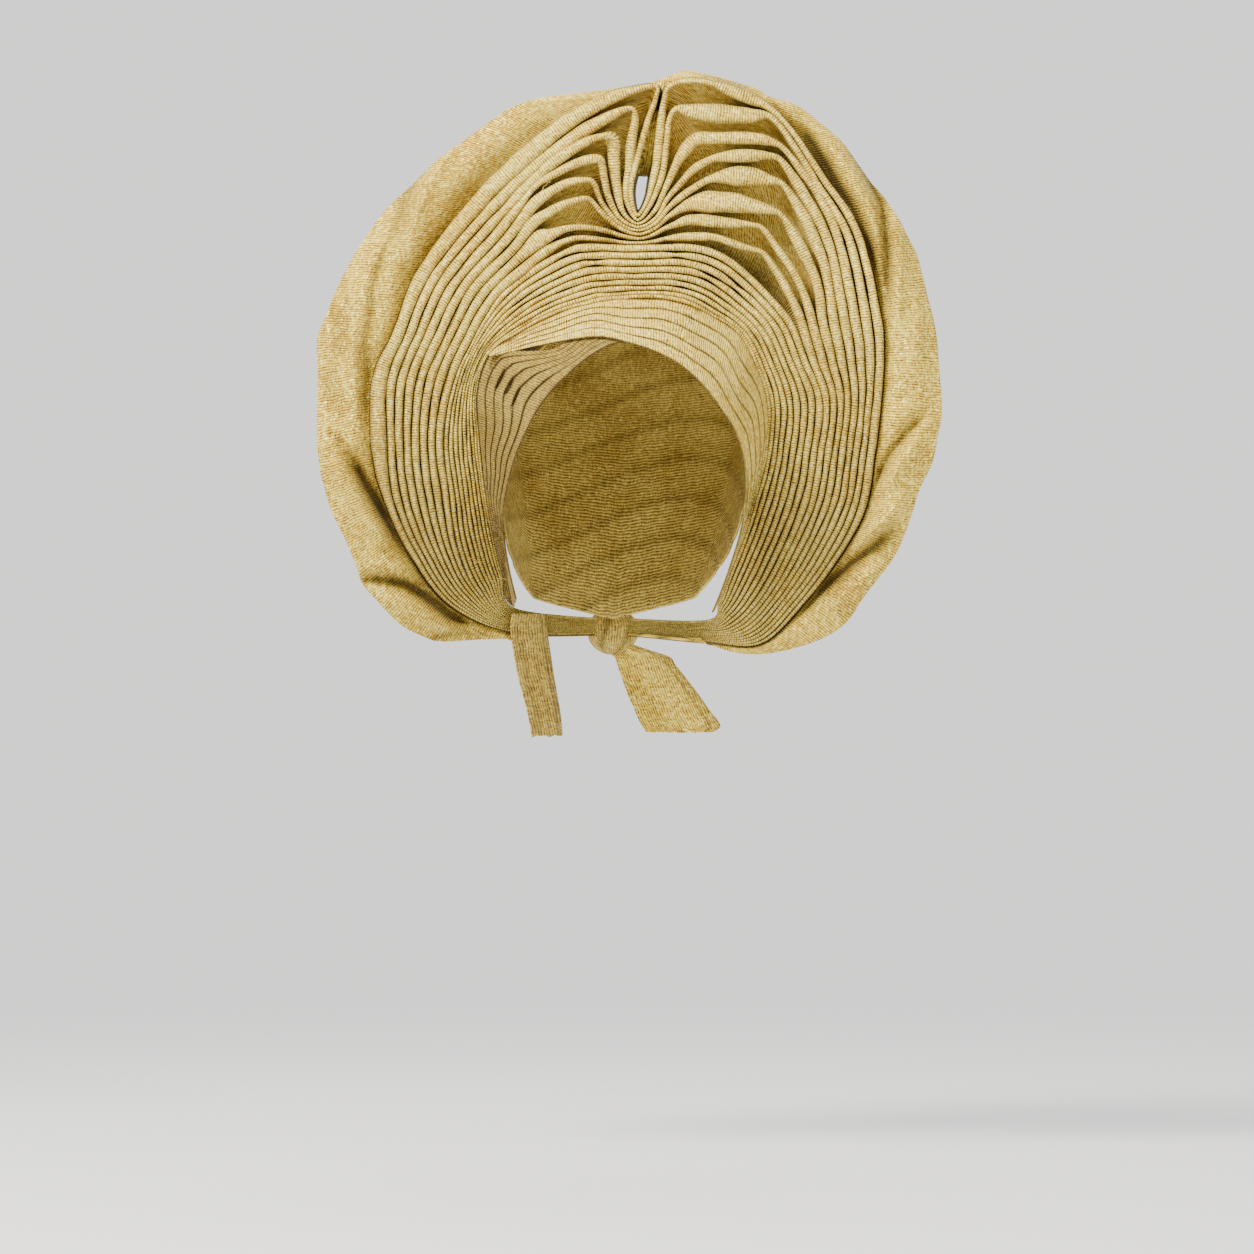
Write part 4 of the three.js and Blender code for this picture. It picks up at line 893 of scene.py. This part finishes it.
def gold_cloth(name, light, body, deep, thread_glint, bold, most_painted_shade):
    """Woven cloth with bright threads across it: ribs along the weave map, broken dashes on them, and glints."""
    f = Finish(name)
    uv = f.node("ShaderNodeUVMap", {"uv_map": "weave"})
    u = f.node("ShaderNodeSeparateXYZ", None, [uv], out=0)
    v = f.node("ShaderNodeSeparateXYZ", None, [uv], out=1)
    bend = f.node("ShaderNodeTexNoise", {"noise_dimensions": "2D"},
                  {"Vector": uv, "Scale": 0.12, "Detail": 1.0, "Roughness": 0.5})
    u = u + bend * WANDER
    rib_wave = (u * (2 * math.pi / RIB)).op("SINE") * 0.5 + 0.5
    cell = f.node("ShaderNodeCombineXYZ", None, [(u / RIB + 0.25).op("FLOOR"), (v / DASH).op("FLOOR"), 0.0])
    chance = f.node("ShaderNodeTexWhiteNoise", {"noise_dimensions": "2D"}, {"Vector": cell}, out=0)
    stretched = f.node("ShaderNodeCombineXYZ", None, [u * 0.85, v * 0.28, 0.0])
    dash = f.node("ShaderNodeTexNoise", {"noise_dimensions": "2D"},
                  {"Vector": stretched, "Scale": 1.0, "Detail": 2.0, "Roughness": 0.6})
    where = f.node("ShaderNodeTexCoord", None, None, out=3)
    cloudy = f.node("ShaderNodeTexNoise", {"noise_dimensions": "3D"},
                    {"Vector": where, "Scale": 30.0, "Detail": 3.0, "Roughness": 0.55})
    # Painted shade from the mesh: furrows, walls, nose sides, creases and lower parts are darkened towards the
    # inside colour.
    depth = f.node("ShaderNodeAttribute", {"attribute_name": "fold_depth"}, None, out=2)
    bright = rib_wave * 0.62 + chance * 0.46 + f.ramp(dash, 0.30, 0.70) * 0.18 - 0.12
    cloth = f.mix(f.ramp(cloudy, 0.38, 0.62), body, light)
    cloth = f.mix(f.ramp(bright, 0.0, 0.62), deep, cloth)
    # The lurex threads: real gold threads, painted paler and brighter as a glint.
    glint_threads = f.ramp(chance * 0.75 + f.ramp(dash, 0.40, 0.66) * 0.35, 0.66, 0.96) * (rib_wave * 0.7 + 0.3)
    shiny = f.ramp(glint_threads * bold, 0.0, 1.0)
    colour = f.mix(shiny, cloth, thread_glint)
    # The dark colour that the painted shade turns the cloth to.
    inside = (deep[0] * 0.55, deep[1] * 0.46, deep[2] * 0.34, 1)
    colour = f.mix(f.ramp(depth, 0.05, 1.0) * most_painted_shade, colour, inside)
    height = rib_wave * 0.6 + chance * 0.3 + f.ramp(dash, 0.3, 0.7) * 0.3
    bump = f.node("ShaderNodeBump", None, {"Strength": 0.9, "Distance": 0.0006, "Height": height})
    shader = f.node("ShaderNodeBsdfPrincipled", None, {
        "Sheen Weight": 0.04, "Specular IOR Level": 0.18, "Base Color": colour, "Roughness": 0.68 - shiny * 0.30,
        "Metallic": shiny * 0.35, "Normal": bump})
    f.node("ShaderNodeOutputMaterial", None, {"Surface": shader})
    return f.material


def rgba(red, green, blue):
    """A colour given 0 to 255 a channel, as linear light."""
    return tuple((c / 12.92 if c <= 0.04045 else ((c + 0.055) / 1.055) ** 2.4)
                 for c in (red / 255, green / 255, blue / 255)) + (1.0,)


# One row for each finish: the colours' name, its duller tone, the cloth between the ribs, how strong the glints
# are, and how much painted shade a furrow gets. The light tone and the glint are the colours of the property group.
CLOTHS = {
    "fan cloth": ("fan", rgba(238, 198, 76), rgba(86, 66, 20), 1.2, 0.88),
    "fan cloth behind": ("fan", rgba(238, 198, 76), rgba(86, 66, 20), 1.2, 0.24),
    "brim cloth": ("brim", rgba(226, 182, 56), rgba(78, 56, 12), 1.9, 0.88),
    "wrap cloth": ("wrap", rgba(178, 146, 60), rgba(80, 60, 20), 0.6, 0.88),
}


def cloth_named(name):
    """One of the finishes of the gele's cloth, made the first time that it is asked for."""
    made = bpy.data.materials.get(name)
    if made:
        return made
    key, body, deep, bold, most_painted_shade = CLOTHS[name]
    colours = bpy.context.scene.gele_colours
    light, thread_glint = (tuple(getattr(colours, key + tone)) for tone in ("_colour", "_glint"))
    return gold_cloth(name, light, body, deep, thread_glint, bold, most_painted_shade)


def make_cloth(node, surface, wall, cloth, slot, flat, held, behind=None, **build):
    """Makes a piece from its grid, weave map and shade, and sets it in its solid's place; the flat cloth that it is
    given is not used.
    """
    piece = cloth_piece(node + "_cloth", *surface, wall, **build)
    piece.data.materials.append(cloth_named(cloth))
    if behind:
        piece.data.materials.append(cloth_named(behind))
        piece.modifiers["cloth"].material_offset = 1
    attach(piece, "root")
    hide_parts(node)


# Properties, operators, panel.

class GeleSizes(bpy.types.PropertyGroup):
    pleat_depth: bpy.props.FloatProperty(
        name="Pleat depth", description="From a fold's nose back to the furrow beside it", default=0.0155,
        subtype="DISTANCE", unit="LENGTH")
    cloth_thickness: bpy.props.FloatProperty(
        name="Cloth thickness", description="Thickness of the folded cloth", default=0.0008,
        subtype="DISTANCE", unit="LENGTH")
    brim_thickness: bpy.props.FloatProperty(
        name="Brim thickness", description="Thickness of the brim", default=0.0011,
        subtype="DISTANCE", unit="LENGTH")


def colour_property(name, description, red, green, blue):
    """A colour that a user would change, given as 0 to 255 a channel."""
    return bpy.props.FloatVectorProperty(name=name, description=description, size=4, min=0, max=1,
                                         default=rgba(red, green, blue), subtype="COLOR")


class GeleColours(bpy.types.PropertyGroup):
    fan_colour: colour_property("Fan colour", "Light tone of the fan and the upper band", 254, 222, 100)
    fan_glint: colour_property("Fan glint", "Bright threads of the fan and the upper band", 255, 246, 160)
    brim_colour: colour_property("Brim colour", "Light tone of the brim and the right end", 253, 214, 80)
    brim_glint: colour_property("Brim glint", "Bright threads of the brim and the right end", 255, 244, 130)
    wrap_colour: colour_property(
        "Wrap colour", "Light tone of the wrap, lower band, knot, left end and stray threads", 206, 178, 84)
    wrap_glint: colour_property(
        "Wrap glint", "Bright threads of the wrap, lower band, knot, left end and stray threads", 234, 216, 118)


# Rows of points: along the folds to a side section and to each place over the crown, and over the other pieces.
LOWER_STEPS = (11, 10)
CREST_STEPS = (8, 8)
BRIM_STEPS = (14, 10)
BRIM_ACROSS = 60
BAND_ACROSS = 90
WRAP_POINTS = (110, 220)
KNOT_POINTS = (90, 160)
TAIL_POINTS = (90, 50)
BAND_WALL = 1.0
WRAP_WALL = 1.4
KNOT_WALL = 0.9
TAIL_WALL = 1.0
THREAD_RADIUS = 0.16
THREAD_SEED = 60


class GelePleats(bpy.types.Operator):
    """Makes the pressed folds over the forehead and the loose folds over the crown"""
    bl_idname = "gele.pleats"
    bl_label = "Pleats"

    def execute(self, context):
        sizes = context.scene.gele_sizes
        deep = sizes.pleat_depth / MM
        thick = sizes.cloth_thickness / MM
        lower = pleat_wall(1, PRESSED_FOLDS, fan_stations(len(FOREHEAD), *LOWER_STEPS), deep, lead=0.3)
        crest = pleat_wall(FIRST_LOOSE, ALL_FOLDS, fan_stations(len(CREST_PLACES), *CREST_STEPS), deep, lead=1.5,
                           closing=1.5)
        for node, surface, flat in (("lower_pleats", lower, (0.26, 0.55)), ("crest_pleats", crest, (0.28, 0.75))):
            make_cloth(node, surface, thick, "fan cloth", "fan_cloth", flat, "folded", "fan cloth behind")
        places = np.concatenate([lower[0].reshape(-1, 3), crest[0].reshape(-1, 3)])
        for number, (x, z, *way, length, sag) in enumerate(THREADS):
            points = thread_points((x, front_at(places, x, z), z), way, length, sag, THREAD_SEED + number)
            ring = tube(points, THREAD_RADIUS)
            turn = np.linspace(0, 1, ring.shape[1])[None, :] + 0 * ring[..., 0]
            uv = np.stack([run_length(points)[:, None] + 0 * turn, turn], axis=-1)
            thread = cloth_piece("stray_thread_%d" % (number + 1), ring, uv, None, 0, closed=True, flip=True,
                                 caps=(0, -1))
            thread.data.materials.append(cloth_named("wrap cloth"))
            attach(thread, "root")
        return {"FINISHED"}


class GeleBrim(bpy.types.Operator):
    """Makes the wide smooth brim round the fan"""
    bl_idname = "gele.brim"
    bl_label = "Brim"

    def execute(self, context):
        brim = brim_grid(fan_stations(len(CREST_PLACES), *BRIM_STEPS), BRIM_ACROSS)
        wall = context.scene.gele_sizes.brim_thickness / MM
        make_cloth("brim", brim, wall, "brim cloth", "brim_cloth", (0.05, 0.85), "draped")
        return {"FINISHED"}


class GeleBands(bpy.types.Operator):
    """Makes the two bands that cross on the forehead"""
    bl_idname = "gele.bands"
    bl_label = "Bands"

    def execute(self, context):
        over = band_grid(OVER_BAND, 5.0, 5, 14, BAND_ACROSS, OVER_PUCKERS, 1.5, 0.0)
        make_cloth("over_band", over, BAND_WALL, "fan cloth", "wrap_cloth", (0.036, 0.30), "folded")
        under = band_grid(UNDER_BAND, 2.6, 6, 20, BAND_ACROSS, UNDER_PUCKERS, 2.0, 0.48)
        make_cloth("under_band", under, BAND_WALL, "wrap cloth", "wrap_cloth", (0.036, 0.24), "folded", flip=True)
        return {"FINISHED"}


class GeleWrap(bpy.types.Operator):
    """Makes the wrap over the skull and the knot behind it"""
    bl_idname = "gele.wrap"
    bl_label = "Wrap and knot"

    def execute(self, context):
        make_cloth("crown_wrap", wrap_grid(*WRAP_POINTS), WRAP_WALL, "wrap cloth", "wrap_cloth", (0.24, 0.30),
                   "draped", closed=True, caps=(0,))
        make_cloth("nape_knot", knot_grid(*KNOT_POINTS), KNOT_WALL, "wrap cloth", "wrap_cloth", (0.04, 0.06),
                   "gathered", closed=True, caps=(0, -1))
        return {"FINISHED"}


class GeleTails(bpy.types.Operator):
    """Makes the two loose ends that hang from the knot"""
    bl_idname = "gele.tails"
    bl_label = "Loose ends"

    def execute(self, context):
        for node, rows, seed, cloth, flat in (
                ("left_tail", LEFT_TAIL, 5, "wrap cloth", (0.030, 0.075)),
                ("right_tail", RIGHT_TAIL, 6, "brim cloth", (0.050, 0.050))):
            make_cloth(node, tail_grid(rows, *TAIL_POINTS, seed), TAIL_WALL, cloth, "wrap_cloth", flat, "hung")
        return {"FINISHED"}


# The stage, in metres and watts: the round floor, which fades out towards its edge, the world's even light, and
# each lamp's name, place, size, power and colour, and where they all point.
FLOOR_Z = -0.515
FLOOR_RADIUS = 1.7
FLOOR_START = 0.0002
FLOOR_POINTS = (40, 96)
FLOOR_FADE = (0.95, 0.45)
WORLD_COLOUR = (0.985, 0.985, 0.97, 1)
WORLD_STRENGTH = 1.32
LAMPS = (
    ("key", (-0.72, -0.98, 1.05), 0.42, 54, (1.0, 0.96, 0.88)),
    ("top", (0.2, 0.7, 1.9), 1.4, 12, (1.0, 1.0, 1.0)),
)
LAMP_AIM = (0, 0, -0.06)
# The camera: how far it stands from the fan's plane, how wide the picture is there, and its place.
CAMERA_AWAY = 3.2
PICTURE_WIDE = 0.70224
FAN_PLANE = -0.060
CAMERA_X = -0.00056
CAMERA_Z = -0.20272
FILM_WIDTH = 36


class GeleStage(bpy.types.Operator):
    """Makes the floor, the soft lights and the camera"""
    bl_idname = "gele.stage"
    bl_label = "Stage"

    def execute(self, context):
        scene = context.scene
        ring = np.linspace(FLOOR_START, FLOOR_RADIUS, FLOOR_POINTS[0])[:, None]
        turn = np.linspace(0, 2 * np.pi, FLOOR_POINTS[1], endpoint=False)[None, :]
        grid = np.stack(np.broadcast_arrays(ring * np.cos(turn), ring * np.sin(turn), FLOOR_Z), axis=-1) / MM
        floor = cloth_piece("floor", grid, grid[..., :2], None, 0, closed=True, caps=(0,))
        f = Finish("pale floor")
        where = f.node("ShaderNodeTexCoord", None, None, out=3)
        away = f.node("ShaderNodeVectorMath", {"operation": "LENGTH"}, [where], out=1)
        shown = f.ramp(away, *(FLOOR_RADIUS * share for share in FLOOR_FADE))
        shader = f.node("ShaderNodeBsdfPrincipled", None, {
            "Base Color": rgba(236, 236, 236), "Roughness": 0.9, "Alpha": shown})
        f.node("ShaderNodeOutputMaterial", None, {"Surface": shader})
        floor.data.materials.append(f.material)
        world = bpy.data.worlds.new("studio")
        world.use_nodes = True
        world.node_tree.nodes["Background"].inputs[0].default_value = WORLD_COLOUR
        world.node_tree.nodes["Background"].inputs[1].default_value = WORLD_STRENGTH
        scene.world = world
        for name, place, size, power, colour in LAMPS:
            data = bpy.data.lights.new(name, "AREA")
            data.size, data.energy, data.color = size, power, colour
            lamp = bpy.data.objects.new(name, data)
            scene.collection.objects.link(lamp)
            lamp.location = place
            aim = np.array(LAMP_AIM) - np.array(place)
            aim /= np.linalg.norm(aim)
            lamp.rotation_euler = (math.acos(-aim[2]), 0, math.atan2(aim[0], -aim[1]) + math.pi)
        camera = bpy.data.cameras.new("camera")
        camera.sensor_width = FILM_WIDTH
        camera.lens = FILM_WIDTH * CAMERA_AWAY / PICTURE_WIDE
        view = bpy.data.objects.new("camera", camera)
        scene.collection.objects.link(view)
        view.location = (CAMERA_X, FAN_PLANE - CAMERA_AWAY, CAMERA_Z)
        view.rotation_euler = (math.pi / 2, 0, 0)
        scene.camera = view
        return {"FINISHED"}


class GelePanel(bpy.types.Panel):
    bl_idname = "VIEW3D_PT_gele"
    bl_label = "Gele"
    bl_space_type = "VIEW_3D"
    bl_region_type = "UI"
    bl_category = "Gele"

    def draw(self, context):
        for group, made in ((context.scene.gele_sizes, GeleSizes), (context.scene.gele_colours, GeleColours)):
            for key in made.__annotations__:
                self.layout.prop(group, key)
        for made in OPERATORS:
            self.layout.operator(made.bl_idname)


OPERATORS = (GeleStage, GelePleats, GeleBrim, GeleBands, GeleWrap, GeleTails)
CLASSES = (GeleSizes, GeleColours, *OPERATORS, GelePanel)


def register():
    for made in CLASSES:
        bpy.utils.register_class(made)
    bpy.types.Scene.gele_sizes = bpy.props.PointerProperty(type=GeleSizes)
    bpy.types.Scene.gele_colours = bpy.props.PointerProperty(type=GeleColours)


def unregister():
    del bpy.types.Scene.gele_colours
    del bpy.types.Scene.gele_sizes
    for made in reversed(CLASSES):
        bpy.utils.unregister_class(made)


def main():
    register()
    for made in OPERATORS:
        group, name = made.bl_idname.split(".")
        if getattr(getattr(bpy.ops, group), name)() != {"FINISHED"}:
            raise RuntimeError(made.bl_label + " wasn't finished")


if __name__ == "__main__":
    main()
